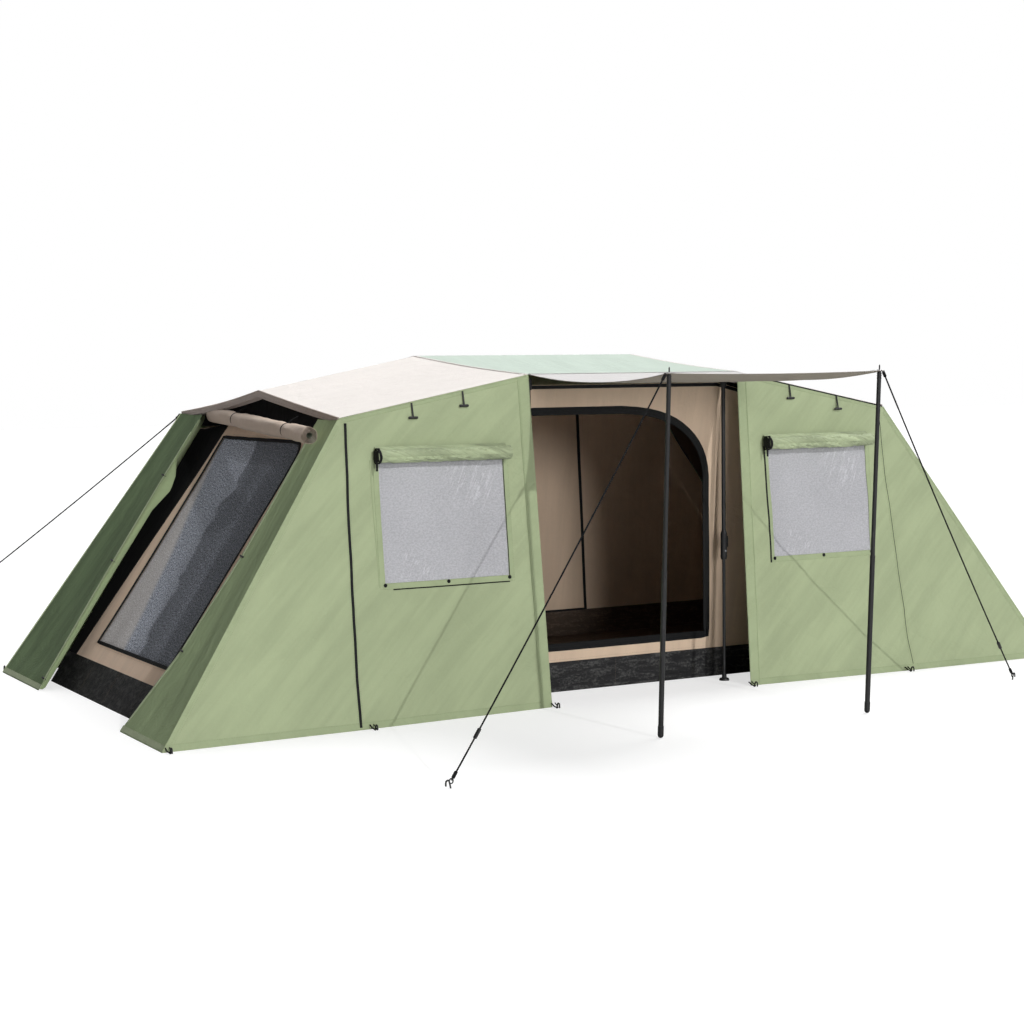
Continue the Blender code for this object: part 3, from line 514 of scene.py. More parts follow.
class Bag:
    """Bodies gathered into one mesh, each vertex with its place on the cloth in metres."""

    def __init__(self):
        self.verts, self.faces, self.uvs, self.kinds = [], [], [], []

    def add(self, verts, faces, uvs, kind=0):
        first = len(self.verts)
        self.verts += [tuple(v) for v in verts]
        self.uvs += [tuple(uv) for uv in uvs]
        self.face([[first + k for k in face] for face in faces], kind)

    def face(self, faces, kind):
        self.faces += [tuple(face) for face in faces]
        self.kinds += [kind] * len(faces)

    def cloth(self, verts, faces, uvs, towards, thickness=CLOTH, kinds=(0, 0)):
        """A surface made into a thin closed sheet. It is the side that faces the point, if one is given."""
        points = np.array([tuple(v) for v in verts], float)
        normals = np.zeros_like(points)
        for face in faces:
            a = face[0]
            for b, c in zip(face[1:], face[2:]):
                normals[[a, b, c]] += np.cross(points[b] - points[a], points[c] - points[a])
        if towards is not None and normals.sum(0) @ (np.array(tuple(towards)) - points.mean(0)) < 0.0:
            normals = -normals
            faces = [tuple(reversed(face)) for face in faces]
        normals /= np.maximum(np.linalg.norm(normals, axis=1), 1e-12)[:, None]
        rim = {}
        for face in faces:
            for a, b in sides_of(face):
                if rim.pop((b, a), None) is None:
                    rim[(a, b)] = True
        first, count = len(self.verts), len(points)
        self.add(points, faces, uvs, kinds[0])
        self.add(points - normals * thickness, [], uvs)
        self.face([[first + count + k for k in reversed(face)] for face in faces], kinds[1])
        self.face([(first + b, first + a, first + count + a, first + count + b) for a, b in rim], kinds[0])
        return self

    def grid(self, place, towards, columns, rows, size, *how):
        """A sheet over a grid that a function of two shares gives."""
        return self.cloth(*grid_mesh(place, columns, rows, size), towards, *how)

    def panel(self, place, towards, outline, holes=(), spacing=0.035, *how, origin=(0.0, 0.0)):
        """A sheet on a surface, over an outline less its holes. Its cloth is measured from the origin."""
        verts, faces = flat_mesh(outline, holes, spacing)
        uvs = [(a - origin[0], b - origin[1]) for a, b in verts]
        return self.cloth([place(a, b) for a, b in verts], faces, uvs, towards, *how)

    def tape(self, line, width, thickness=0.0012, sink=0.0006, closed=False):
        """A flat tape along (point, outward normal) pairs."""
        half, verts, uvs = width / 2.0, [], []
        section = (-1.0, -1.0, -sink), (-0.92, -0.9, thickness), (0.92, 0.9, thickness), (1.0, 1.0, -sink)
        for (_, normal), (point, way, run) in zip(line, stations([point for point, _ in line], closed)):
            side = way.cross(normal).normalized()
            for share, at, lift in section:
                verts.append(point + side * half * share + normal * lift)
                uvs.append((run, half * at))
        self.skin(verts, uvs, 4, closed)

    def skin(self, verts, uvs, sides, closed):
        """The surface of a bar from its rings of vertices."""
        count, faces = len(verts) // sides, []
        for k in range(count if closed else count - 1):
            a, b = k * sides, (k + 1) % count * sides
            faces += [(a + j, a + n, b + n, b + j) for j, n in ((j, (j + 1) % sides) for j in range(sides))]
        if not closed:
            faces += [range(sides - 1, -1, -1), range((count - 1) * sides, count * sides)]
        self.add(verts, faces, uvs)

    def tube(self, points, radius, sides=8, closed=False, flat=1.0, across=None):
        """A round or flattened bar along points. The radius may be one for each point."""
        points = [Vector(p) for p in points]
        radii = radius if isinstance(radius, list) else [radius] * len(points)
        side = Vector(across) if across is not None else (points[1] - points[0]).normalized().orthogonal()
        verts, uvs = [], []
        for (point, way, run), r in zip(stations(points, closed), radii):
            side = (side - way * side.dot(way)).normalized()
            other = way.cross(side)
            for angle in angles(sides):
                verts.append(point + side * (math.cos(angle) * r) + other * (math.sin(angle) * r * flat))
                uvs.append((run, r * angle))
        self.skin(verts, uvs, sides, closed)

    def pill(self, centre, way, length, radius, flat=1.0, across=None):
        """A bar with rounded ends."""
        half = Vector(way).normalized() * (length / 2.0)
        ends = ((1.0, 0.35), (0.96, 0.72), (0.86, 0.95), (0.70, 1.0))
        stops = [(-at, share) for at, share in ends] + list(reversed(ends))
        self.tube([Vector(centre) + half * at for at, _ in stops], [radius * share for _, share in stops], 10,
                  flat=flat, across=across)

    def ring(self, centre, axis, radius, thick, steps=20, sides=8):
        axis = Vector(axis).normalized()
        side = axis.orthogonal().normalized()
        other = axis.cross(side)
        points = [Vector(centre) + spoke(side, other, angle) * radius for angle in angles(steps)]
        self.tube(points, thick, sides, closed=True, across=side)

    def stitches(self, line):
        """Thread that shows as dashes along (point, outward normal) pairs."""
        pitch, length, radius = 0.009, 0.0055, 0.0008
        faces = []
        for j, n in ((0, 1), (1, 2), (2, 3), (3, 0)):
            faces += [(0, 2 + n, 2 + j), (1, 2 + j, 2 + n)]
        for (a, normal), (b, _) in zip(line, line[1:]):
            span = (b - a).length
            count = int(span / pitch)
            way = (b - a) / max(span, pitch)
            side = way.cross(normal).normalized()
            for k in range(count):
                mid = a + way * (span * (k + 0.5) / count) + normal * radius * 0.4
                half, out, up = way * length / 2.0, side * radius, normal * radius
                ends, waist = [mid - half, mid + half], [mid + out, mid + up, mid - out, mid - up]
                self.add(ends + waist, faces, [(0.0, 0.0)] * 6)

    def block(self, centre, axes, size, bevel=0.2):
        """A chamfered block; axes are three unit vectors."""
        bm = bmesh.new()
        bmesh.ops.create_cube(bm, size=1.0)
        bmesh.ops.scale(bm, vec=size, verts=bm.verts)
        bmesh.ops.bevel(bm, geom=bm.edges, offset=min(size) * bevel, segments=2, affect="EDGES", profile=0.5)
        turn = Matrix([Vector(a).normalized() for a in axes]).transposed()
        faces = [[v.index for v in face.verts] for face in bm.faces]
        self.add([Vector(centre) + turn @ v.co for v in bm.verts], faces,
                 [(v.co.x + v.co.z, v.co.y) for v in bm.verts])
        bm.free()

    def piece(self, name, mats, where, slot, *nodes):
        """The mesh as a piece with its materials, fastened to its body or, for a bend, left where it stands,
        with the nodes it stands for hidden. The slot is not used.
        """
        mesh = bpy.data.meshes.new(name)
        mesh.from_pydata(self.verts, [], self.faces)
        bm = bmesh.new()
        bm.from_mesh(mesh)
        bmesh.ops.recalc_face_normals(bm, faces=bm.faces)
        bm.to_mesh(mesh)
        bm.free()
        layer = mesh.uv_layers.new(name="UVMap")
        order = np.empty(len(mesh.loops), np.int32)
        mesh.loops.foreach_get("vertex_index", order)
        layer.data.foreach_set("uv", np.array(self.uvs, np.float32)[order].ravel())
        mesh.polygons.foreach_set("use_smooth", np.ones(len(mesh.polygons), bool))
        mesh.polygons.foreach_set("material_index", np.array(self.kinds, np.int32))
        mesh.set_sharp_from_angle(angle=SHARP_ANGLE)
        for mat in mats.split():
            mesh.materials.append(MATS[mat])
        thing = show(name, mesh)
        if where in BENDS:
            foot, top = BENDS[where]
            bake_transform(thing)
            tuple(foot)
            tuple(top)
        else:
            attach(thing, where)
        if nodes:
            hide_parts(*nodes)
        return thing


def resampled(loop, spacing, closed=True):
    """Points along a line no further apart than the spacing, its corners kept."""
    out = []
    for a, b in sides_of(loop) if closed else zip(loop, loop[1:]):
        count = max(1, math.ceil(math.dist(a, b) / spacing))
        out += [(lerp(a[0], b[0], k / count), lerp(a[1], b[1], k / count)) for k in range(count)]
    return out if closed else [*out, tuple(loop[-1])]


def inside(points, rims):
    """Which of the points lie inside the first closed outline and outside the others."""
    x, y = points[:, 0], points[:, 1]
    held = ~np.zeros(len(points), bool)
    for rim in rims:
        hits = np.zeros(len(points), bool)
        for (ax, ay), (bx, by) in sides_of(rim):
            if ay != by:
                hits ^= ((ay > y) != (by > y)) & (x < (bx - ax) * (y - ay) / (by - ay) + ax)
        held &= hits if rim is rims[0] else ~hits
    return held


def flat_mesh(outline, holes, spacing):
    """Triangles over an outline less its holes."""
    rims = [resampled(loop, spacing) for loop in (outline, *holes)]
    coords, edges = [], []
    for rim in rims:
        first = len(coords)
        coords += rim
        edges += [(first + k, first + (k + 1) % len(rim)) for k in range(len(rim))]
    tree = KDTree(len(coords))
    for k, (a, b) in enumerate(coords):
        tree.insert((a, b, 0.0), k)
    tree.balance()
    low, high = np.min(coords, 0), np.max(coords, 0)
    triangle_height, clearance = 0.866, 0.55  # as shares of the spacing
    rise = spacing * triangle_height
    rows, columns = int((high[1] - low[1]) / rise) + 2, int((high[0] - low[0]) / spacing) + 2
    grid = np.array([(low[0] + (k + 0.5 * (row % 2)) * spacing, low[1] + row * spacing * triangle_height)
                     for row in range(rows) for k in range(columns)])
    found = grid[inside(grid, rims)].tolist()
    coords += [(a, b) for a, b in found if tree.find((a, b, 0.0))[2] > clearance * spacing]
    verts, _, faces, *_ = delaunay_2d_cdt([Vector(p) for p in coords], edges, [], 0, 1e-7)
    centres = np.array([[sum(verts[k][axis] for k in face) / 3.0 for axis in (0, 1)] for face in faces])
    return [tuple(v) for v in verts], [tuple(face) for face, ok in zip(faces, inside(centres, rims)) if ok]


def grid_mesh(place, columns, rows, size):
    """A grid of quads; place takes shares from 0 to 1 along the columns and the rows."""
    shares = [(column / columns, row / rows) for row in range(rows + 1) for column in range(columns + 1)]
    corners = [row * (columns + 1) + column for row in range(rows) for column in range(columns)]
    return ([place(u, v) for u, v in shares], [(a, a + 1, a + columns + 2, a + columns + 1) for a in corners],
            [(u * size[0], v * size[1]) for u, v in shares])


def liner(place, towards, spacing=0.04):
    """A function that gives (point, outward normal) pairs along a line on a surface."""
    step, towards = 0.004, Vector(towards)

    def line(stops, lift=0.0, closed=False):
        out = []
        for a, b in resampled(list(stops), spacing, closed):
            across = place(a + step, b) - place(a - step, b)
            normal = across.cross(place(a, b + step) - place(a, b - step)).normalized()
            if normal.dot(towards) < 0.0:
                normal.negate()
            out.append((place(a, b) + normal * lift, normal))
        return out
    return line


def folds(a, b, angle, seed, size=1.0):
    """Long shallow folds that run at an angle."""
    c, s = math.cos(math.radians(angle)), math.sin(math.radians(angle))
    u, v = a * c + b * s, b * c - a * s
    return size * (0.0085 * ripple(u * 0.9, v * 5.0, seed) + 0.0028 * ripple(u * 2.2, v * 12.0, seed + 7.3))


# ---------------------------------------------------------------- outer walls


def wall_reach(ax, z):
    """How far out in Y the outer wall stands, before any slack."""
    end_t = 1.0 - z / EAVE_END.z
    seam = lerp(EAVE_END.x, GROUND_SEAM.x, end_t)
    if ax <= seam:
        s = 0.5
        for _ in range(5):
            t = 1.0 - z / lerp(EAVE_CENTRE.z, EAVE_END.z, s)
            near = lerp(EAVE_CENTRE.x, GROUND_CENTRE.x, t)
            far = lerp(EAVE_END.x, GROUND_SEAM.x, t)
            s = min(max((ax - near) / (far - near), 0.0), 1.0)
        return lerp(lerp(EAVE_CENTRE.y, EAVE_END.y, s), lerp(GROUND_CENTRE.y, GROUND_SEAM.y, s), t)
    s = min((ax - seam) / max(corner_x(z) - seam, 1e-4), 1.05)
    return lerp(EAVE_END.y, lerp(GROUND_SEAM.y, GROUND_CORNER.y, s), end_t)


def corner_x(z):
    """How far out in X the corner stands between the wall and the end strip."""
    return lerp(EAVE_END.x, GROUND_CORNER.x, 1.0 - z / EAVE_END.z)


def corner_y(z):
    return lerp(EAVE_END.y, GROUND_CORNER.y, 1.0 - z / EAVE_END.z)


def door_x(z):
    """How far out in X the wall starts beside the doorway."""
    return lerp(EAVE_CENTRE.x, GROUND_CENTRE.x, 1.0 - z / EAVE_CENTRE.z)


def eave_z(ax):
    share = min(max((ax - EAVE_CENTRE.x) / (EAVE_END.x - EAVE_CENTRE.x), 0.0), 1.0)
    return lerp(EAVE_CENTRE.z, EAVE_END.z, share)


def wall_slack(x, sy, z):
    """Folds and hollows between the wall's edges."""
    ax = abs(x)
    edge = min(eave_z(ax) - z, z + 0.02, (corner_x(z) - ax) * 0.8)
    if sy < 0:
        edge = min(edge, ax - door_x(z))
    wing = smooth((ax - 1.3) / 1.1) * (1.0 - 0.45 * smooth(z / 1.6))
    high = smooth((z - 0.55) / 0.7)
    body = folds(x, z, 60.0, 3.1 * sy, 1.7) * high + folds(x, z, 30.0, 5.2 * sy, 1.5) * (1.0 - high)
    ridge = body * (1.0 - wing) + folds(x, z, 24.0 if x < 0 else 156.0, 9.4 * sy, 1.8) * wing
    return ridge * smooth(edge / 0.12) - 0.020 * smooth(edge / 0.32)


def wall(x, sy, z, lift=0.0):
    return vec(x, sy * (wall_reach(abs(x), z) + wall_slack(x, sy, z) + lift), z)


def quarter_liner(sx, sy, place=None):
    """A liner on a quarter of the outer wall, along (distance out, Z) places."""
    line = liner(place or (lambda x, z: wall(x, sy, z)), (0.0, sy, 0.05))
    return lambda stops, lift=0.0: line([(sx * a, z) for a, z in stops], lift)


def window_far(sx, z):
    return lerp(WINDOW_FAR_LOW, WINDOW_FAR_HIGH[sx], (z - WINDOW_LOW) / (WINDOW_HIGH - WINDOW_LOW))


def window_loop(sx, grow=0.0, way=1):
    """Corners of a window: near lower, far lower, far upper, near upper. X is the distance out times way."""
    near, low, high = WINDOW_NEAR[sx] - grow, WINDOW_LOW - grow, WINDOW_HIGH + grow
    return [(way * near, low), (way * (window_far(sx, low) + grow), low),
            (way * (window_far(sx, high) + grow), high), (way * near, high)]


def window_edge(sx, ax, z):
    """How far inside the window a place is."""
    return min(ax - WINDOW_NEAR[sx], window_far(sx, z) - ax, z - WINDOW_LOW, WINDOW_HIGH - z)


def wall_corners(sx):
    """Ground corner, end eave and centre eave of a wall's outline, as X and Z."""
    drop = 0.004
    return [(sx * GROUND_CORNER.x, 0.0)] + [(sx * eave.x, eave.z - drop) for eave in (EAVE_END, EAVE_CENTRE)]


def outer_walls():
    """Front walls left and right of the doorway, and one wall along the back."""
    for hand, sx in SIDES:
        outline = [(sx * GROUND_CENTRE.x, 0.0), *wall_corners(sx)]
        panel = Bag().panel(lambda x, z: wall(x, -1, z), FRONT, outline, [window_loop(sx, way=sx)])
        panel = panel.piece("fly_front_" + hand, "green", "wall", "fly_green", "fly_wall_front_" + hand)
        wall_trim(hand, sx, -1)
        front_window(hand, sx)
    far, *left = wall_corners(-1)
    outline = [far, *wall_corners(1), *reversed(left)]
    panel = Bag().panel(lambda x, z: wall(x, 1, z), BACK, outline, (), 0.045)
    panel = panel.piece("fly_back", "green", "wall", "fly_green", "fly_wall_back")
    for hand, sx in SIDES:
        wall_trim(hand, sx, 1)
        back_cover(hand, sx)


def wall_trim(hand, sx, sy):
    """Hems, seams, eave piping, corner piping and zip of a quarter of the outer wall."""
    place = ("front_" if sy < 0 else "back_") + hand
    hem, thread, black = Bag(), Bag(), Bag()
    line = quarter_liner(sx, sy)
    start = GROUND_CENTRE.x
    hem.tape(line([(start, 0.022), (GROUND_CORNER.x - 0.02, 0.022)]), 0.042)
    thread.stitches(line([(start, 0.037), (GROUND_CORNER.x - 0.03, 0.037)], 0.0014))
    top = [(EAVE_CENTRE.x, EAVE_CENTRE.z - 0.018), (EAVE_END.x - 0.01, EAVE_END.z - 0.018)]
    hem.tape(line(top), 0.026)
    thread.stitches(line([(x, z - 0.009) for x, z in top], 0.0014))
    for inset in (0.025, 0.0425):
        thread.stitches(line([(corner_x(z) - inset, z) for z in (0.03, 0.6, 1.2, 1.70)], 0.0006))
    hem.tape(line([(corner_x(z) - 0.018, z) for z in (0.01, 0.6, 1.2, 1.72)]), 0.030)
    if sy < 0:
        side = [(door_x(z) + 0.036, z) for z in (0.01, 0.7, 1.4, 1.970)]
        hem.tape(line(side), 0.070, 0.0022)
        hem.tube([p for p, _ in line([(x + 0.037, z) for x, z in side], 0.0004)], 0.0040)
        for offset in (-0.030, 0.029):
            thread.stitches(line([(x + offset, z) for x, z in side], 0.0020))
        seam = [(lerp(1.958, 2.024, t), (EAVE_END.z - 0.03) * (1.0 - t)) for t in (0.0, 0.35, 0.7, 0.992)]
        if sx < 0:
            black.tape(line(seam), 0.017, 0.003)
            black.tape(line(seam, 0.003), 0.006, 0.0016)
        else:
            hem.tape(line(seam), 0.012)
            black.tape(line(seam), 0.004, 0.0016)
        for offset in (-0.015, 0.015):
            thread.stitches(line([(x + offset, z) for x, z in seam], 0.0006))
    else:
        for x in (0.75, 2.02):
            seam = [(x, eave_z(x) - 0.03), (x - 0.01, 0.9), (x - 0.02, 0.01)]
            hem.tape(line(seam), 0.014)
            thread.stitches(line([(a + 0.011, z) for a, z in seam], 0.0006))
    pipe = line([(EAVE_CENTRE.x + 0.004, EAVE_CENTRE.z - 0.006), (EAVE_END.x, EAVE_END.z - 0.006)], 0.003)
    (hem if sx < 0 and sy < 0 else black).tube([point for point, _ in pipe], 0.0042)
    hem.tube([wall(sx * corner_x(z), sy, z) for z in (0.004, 0.3, 0.6, 0.9, 1.2, 1.5, 1.752)], 0.0048)
    hem.piece("fly_hems_" + place, "green_hem", "wall", "fly_green")
    thread.piece("fly_stitching_" + place, "thread", "wall", "fly_green")
    black.piece("fly_zip_" + place, "zip", "wall", "steel_black")


def front_window(hand, sx):
    """Pale mesh in a sewn frame, its studs, its cover rolled above and the cover's strap."""
    def pane(x, z):
        ax = abs(x)
        near = WINDOW_NEAR[sx]
        u = (ax - near) / (window_far(sx, z) - near)
        side = u if sx > 0 else 1.0 - u
        v = (z - WINDOW_LOW) / (WINDOW_HIGH - WINDOW_LOW)
        pulled = bell(side - 0.72, 0.20) * bell(v - 0.84, 0.20)
        pulled += 0.7 * bell(side - 0.22, 0.16) * bell(v - 0.10, 0.12)
        ridge = 1.0 - 4.5 * abs(ripple((x * 0.88 - z * 0.47) * 13.0, (x * 0.47 + z * 0.88) * 2.4, 2.0))
        crumple = folds(x, z, 62.0, 21.0, 0.45) + 0.0085 * min(pulled, 1.0) * max(ridge, 0.0)
        crumple += 0.0030 * ripple(x * 22.0, z * 2.2, 5.0) * smooth((side - 0.6) / 0.4)
        edge = window_edge(sx, ax, z)
        base = wall_reach(ax, z) + wall_slack(x, -1, z) - 0.0035 - 0.004 * smooth(edge / 0.06)
        return vec(x, -(base + crumple * smooth((edge + 0.004) / 0.05)), z)

    left, right = (WINDOW_NEAR[1], WINDOW_FAR_LOW) if sx > 0 else (WINDOW_FAR_LOW, WINDOW_NEAR[-1])
    corner = (sx * left, WINDOW_LOW)
    net = Bag().panel(pane, FRONT, window_loop(sx, 0.018, sx), (), 0.013, 0.0010, origin=corner)
    net = net.piece("window_mesh_" + hand, "net_pale", "wall", "awning_pale")

    hem, thread, black = Bag(), Bag(), Bag()
    line = quarter_liner(sx, -1)
    for side in sides_of(window_loop(sx, 0.016)):
        hem.tape(line(side), 0.036, 0.0018)
    for grow in (0.003, 0.032):
        for side in sides_of(window_loop(sx, grow)):
            thread.stitches(line(side, 0.0014))
    if sx > 0:
        x = left - 0.030
        black.tape(line([(x, WINDOW_HIGH + 0.01), (x, WINDOW_LOW - 0.035)]), 0.011, 0.0035)
    else:
        black.tape(line([(right - 0.001, WINDOW_HIGH), (right - 0.001, WINDOW_LOW)]), 0.004, 0.0030)
        black.tape(line([(left - 0.05, WINDOW_LOW - 0.036), (right, WINDOW_LOW - 0.036)]), 0.007, 0.0035)
        hem.tape(line([(left + 0.036, WINDOW_HIGH), (left + 0.036, WINDOW_LOW - 0.02)]), 0.006, 0.0025)
    for x in (left, lerp(left, right, 0.5), right):
        at, normal = line([(x, WINDOW_LOW - 0.010), (x, WINDOW_LOW - 0.011)], 0.004)[0]
        black.ring(at, normal, 0.0085, 0.0030)
        black.block(at + normal * 0.002, ((1, 0, 0), UP, normal), (0.010, 0.018, 0.008))
    hem.piece("window_frame_" + hand, "green_hem", "wall", "fly_green")
    thread.piece("window_stitching_" + hand, "thread", "wall", "fly_green")
    black.piece("window_fittings_" + hand, "zip", "wall", "steel_black")
    window_roll(hand, sx)


def axes_along(a, b):
    """Direction of a line and two directions square to it, the first as near to up as can be."""
    axis = (b - a).normalized()
    side = (UP - axis * UP.dot(axis)).normalized()
    return axis, side, axis.cross(side)


def rolled_sheet(bag, a, b, radius, turns, pitch, bulge, start, steps, kinds=(0, 0)):
    """A sheet wound round a line into a roll with open spiral ends. Returns how long the cut was."""
    axis, side, other = axes_along(a, b)

    def place(u, v):
        angle = start + 2.0 * math.pi * turns * v
        reach = radius - pitch * turns * v
        if v < 1.0 / turns:
            reach += bulge(u, angle) * smooth((1.0 / turns - v) * turns * 6.0)
        offset = ripple(v * 5.0, 3.0, 1.0) * 0.004 if u in (0.0, 1.0) else 0.0
        return a.lerp(b, u) + axis * offset + spoke(side, other, angle) * reach

    cut = 2.0 * math.pi * turns * (radius - 0.5 * pitch * turns)
    verts, faces, uvs = grid_mesh(place, 110, int(turns * steps), ((b - a).length, cut))
    bag.cloth(verts, [tuple(reversed(face)) for face in faces], uvs, None, 0.0012, kinds)
    return cut


def window_roll(hand, sx):
    """The rolled cover above a window and the strap with its loops at the left end."""
    low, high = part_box("window_cover_roll_" + hand)
    radius, z = (high.z - low.z) / 2.0, (high.z + low.z) / 2.0
    left, right = low.x, high.x + (0.03 if sx > 0 else 0.0)

    def centre(x):
        return vec(x, -(wall_reach(abs(x), z) + radius + 0.003), z - 0.008)

    def ridge(a, b, c):
        return max(0.0, 1.0 - 7.0 * abs(ripple(a, b, c)))

    def bulge(u, angle):
        twist = ripple(u * 3.2 - angle * 0.55, angle * 1.3, 4.0 + sx)
        fine = ripple(u * 11.0 - angle * 1.5, angle * 2.2, 8.0)
        crease = ridge(u * 6.5 - angle * 1.05, angle * 0.9, 17.0)
        crease += 0.7 * ridge(u * 10.0 - angle * 1.9, angle * 1.2, 27.0)
        return 0.0055 * twist + 0.0024 * fine - 0.0070 * crease

    bag = Bag()
    cut = rolled_sheet(bag, centre(left), centre(right), radius + 0.0015, 6.0, 0.0055, bulge,
                       math.pi * 0.55, 26)
    bag.tape([(vec(x, -(wall_reach(abs(x), z + 0.03) + 0.010), z + 0.036), vec(0.0, -0.6, 0.8))
              for x in np.linspace(left + 0.01, right - 0.01, 24)], 0.030, 0.0014)
    roll = bag.piece("window_cover_" + hand, "green_roll", "wall", "fly_green", "window_cover_roll_" + hand)

    strap, loop = Bag(), []
    for k, angle in enumerate(angles(24)):
        ray = vec(0.0, math.cos(angle), math.sin(angle))
        reach = radius + 0.0025 + 0.003 * ripple(k * 0.8, left * 9.0, 1.0)
        sway = vec(0.003 * math.sin(angle * 2.0 + 1.0), 0, 0)
        loop.append((centre(left + 0.007) + ray * reach + sway, ray))
    strap.tape(loop, 0.016, 0.0022, closed=True)
    for k in (-1, 0, 1):
        at, way = centre(left - 0.001) + vec(0.0, 0.022 * k, 0.0), (0.04 * k, 0.12, 1.0)
        strap.pill(at, way, 0.078 - 0.014 * abs(k), 0.0135, 0.35, (0.0, 1.0, 0.0))
    strap.pill(centre(left + 0.002) + vec(0.0, -radius * 0.6, radius * 0.55), (0.2, 0.1, 1.0), 0.050, 0.006)
    tail = [centre(left - 0.004) + vec(0, -radius * 0.3, -0.02 - 0.022 * k) for k in range(4)]
    strap.tape([(p, vec(0, -1, 0)) for p in tail], 0.013, 0.0020)
    strap.piece("window_cover_strap_" + hand, "web", "wall", "steel_black")


def back_cover(hand, sx):
    """Closed cover over each back window, zipped round three sides."""
    thread, black = Bag(), Bag()

    def place(x, z):
        edge = window_edge(sx, abs(x), z) + 0.03
        puff = 0.008 * smooth(edge / 0.05) + folds(x, z, 80.0, 31.0, 0.5) * smooth(edge / 0.08)
        return wall(x, 1, z, 0.003 + puff)

    cover = Bag().panel(place, BACK, window_loop(sx, 0.030, sx))
    cover.piece("back_cover_" + hand, "green", "wall", "fly_green")
    line = quarter_liner(sx, 1, place)
    near_low, far_low, far_high, near_high = window_loop(sx, 0.018)
    for side in ((near_low, far_low), (far_low, far_high), (near_high, near_low)):
        black.tape(line(side), 0.010, 0.003)
    for side in sides_of(window_loop(sx, 0.026)):
        thread.stitches(line(side, 0.0006))
    x, z = near_low
    black.tape(line([(x, z + 0.02), (x, z - 0.02)], 0.003), 0.008, 0.003)
    black.piece("back_cover_zip_" + hand, "zip", "wall", "steel_black")
    thread.piece("back_cover_stitching_" + hand, "thread", "wall", "fly_green")


# ---------------------------------------------------------------- end strips


FRONT_STRIP = ((0.0, 0.93), (0.46, 1.10), (0.98, 1.14), (1.30, 1.11), (1.76, 1.05))
BACK_STRIP = ((0.0, 0.77), (0.80, 0.86), (1.33, 0.90), (1.76, 0.91))
FLAP_DEPTH = ((0.0, 0.030), (0.7, 0.040), (1.15, 0.048), (1.30, 0.088), (1.38, 0.066), (1.46, 0.014),
              (1.70, 0.010))


def end_strip(place_name, hand, sx, sy, stops):
    """A wall that turns the corner beside an open end, with its turned-in edge and toggles."""
    outward = vec(sx * 0.82, 0.0, 0.57)
    top = EAVE_END.z - 0.010

    def place(y, z):
        ay, outer = abs(y), corner_y(z)
        edge = min(outer - ay, ay - along(stops, z))
        slack = folds(y, z, 82.0, 14.0 + sx + sy, 1.1) * smooth((edge + 0.02) / 0.10)
        slack -= 0.016 * smooth(edge / 0.25)
        return vec(sx * corner_x(z), y, z) + outward * slack * smooth(z / 0.20)

    def sheet_place(u, v):
        z = top * v
        return place(sy * lerp(corner_y(z), along(stops, z), u), z)

    def flap_place(u, v):
        z = lerp(0.005, top - 0.03, v)
        point = place(sy * along(stops, z), z) + vec(0.0, sy * 0.018 * hump(u), 0.0)
        point -= outward * (along(FLAP_DEPTH, z) * u)
        point.z = max(point.z, 0.005)
        return point

    panel = Bag().grid(sheet_place, outward * 20.0, 16, 60, (0.8, 2.1))
    # the strips use darker copies of the wall green: painted shade
    mat = "green_strip_shade" if sy < 0 else "green_painted_shade"
    panel = panel.piece("fly_strip_" + place_name, mat, "wall", "fly_green")
    levels = [top * k / 30 for k in range(31)]
    widths = [abs(corner_y(z) - along(stops, z)) for z in levels]
    flap = Bag().grid(flap_place, (sx * 2.6, -sy * 20.0, 1.0), 5, 60, (0.06, 2.1))
    flap.piece("fly_strip_return_" + place_name, "green_return_shade", "wall", "fly_green")

    trim, thread, black = Bag(), Bag(), Bag()
    line = liner(place, outward, 0.2)
    trim.tape(line([(sy * (along(stops, z) + 0.012), z) for z in levels[1:-2]], 0.0006), 0.022)
    thread.stitches(line([(sy * (along(stops, z) + 0.024), z) for z in levels[1:-2]], 0.0006))
    across = [sy * lerp(GROUND_CORNER.y, stops[0][1], k / 8) for k in range(9)]
    trim.tape(line([(y, 0.020) for y in across]), 0.036)
    thread.stitches(line([(y, 0.034) for y in across], 0.0014))
    for z in (0.46, 0.98) if sy < 0 else (0.07, 0.80, 1.35):
        y = sy * (along(stops, z) + 0.022)
        at, normal = line([(y, z), (y, z + 0.01)], 0.006)[0]
        black.pill(at, (0.0, 1.0, 0.15), 0.036, 0.0085, 0.7, normal)
        cord = [at - normal * deep - vec(0, sy * out, 0.004) for deep, out in ((0.006, 0.02), (0.008, 0.04))]
        black.tube([at, *cord], 0.0022, 6)
    trim.piece("fly_strip_hem_" + place_name, "green_hem", "wall", "fly_green")
    thread.piece("fly_strip_stitching_" + place_name, "thread", "wall", "fly_green")
    black.piece("fly_strip_toggles_" + place_name, "plastic", "wall", "steel_black")


def end_strips():
    """The four strips, each with its inner edge as (height, distance out) stops."""
    for hand, sx in SIDES:
        for row, sy in ROWS:
            end_strip(row + "_" + hand, hand, sx, sy, FRONT_STRIP if sy < 0 else BACK_STRIP)


# ---------------------------------------------------------------- roof and awning


def ridge_share(v):
    """Distance from the ridge as a share, rounded where the cloth crosses the pole."""
    soft = 0.035
    return (math.hypot(v, soft) - soft) / (math.hypot(1.0, soft) - soft)


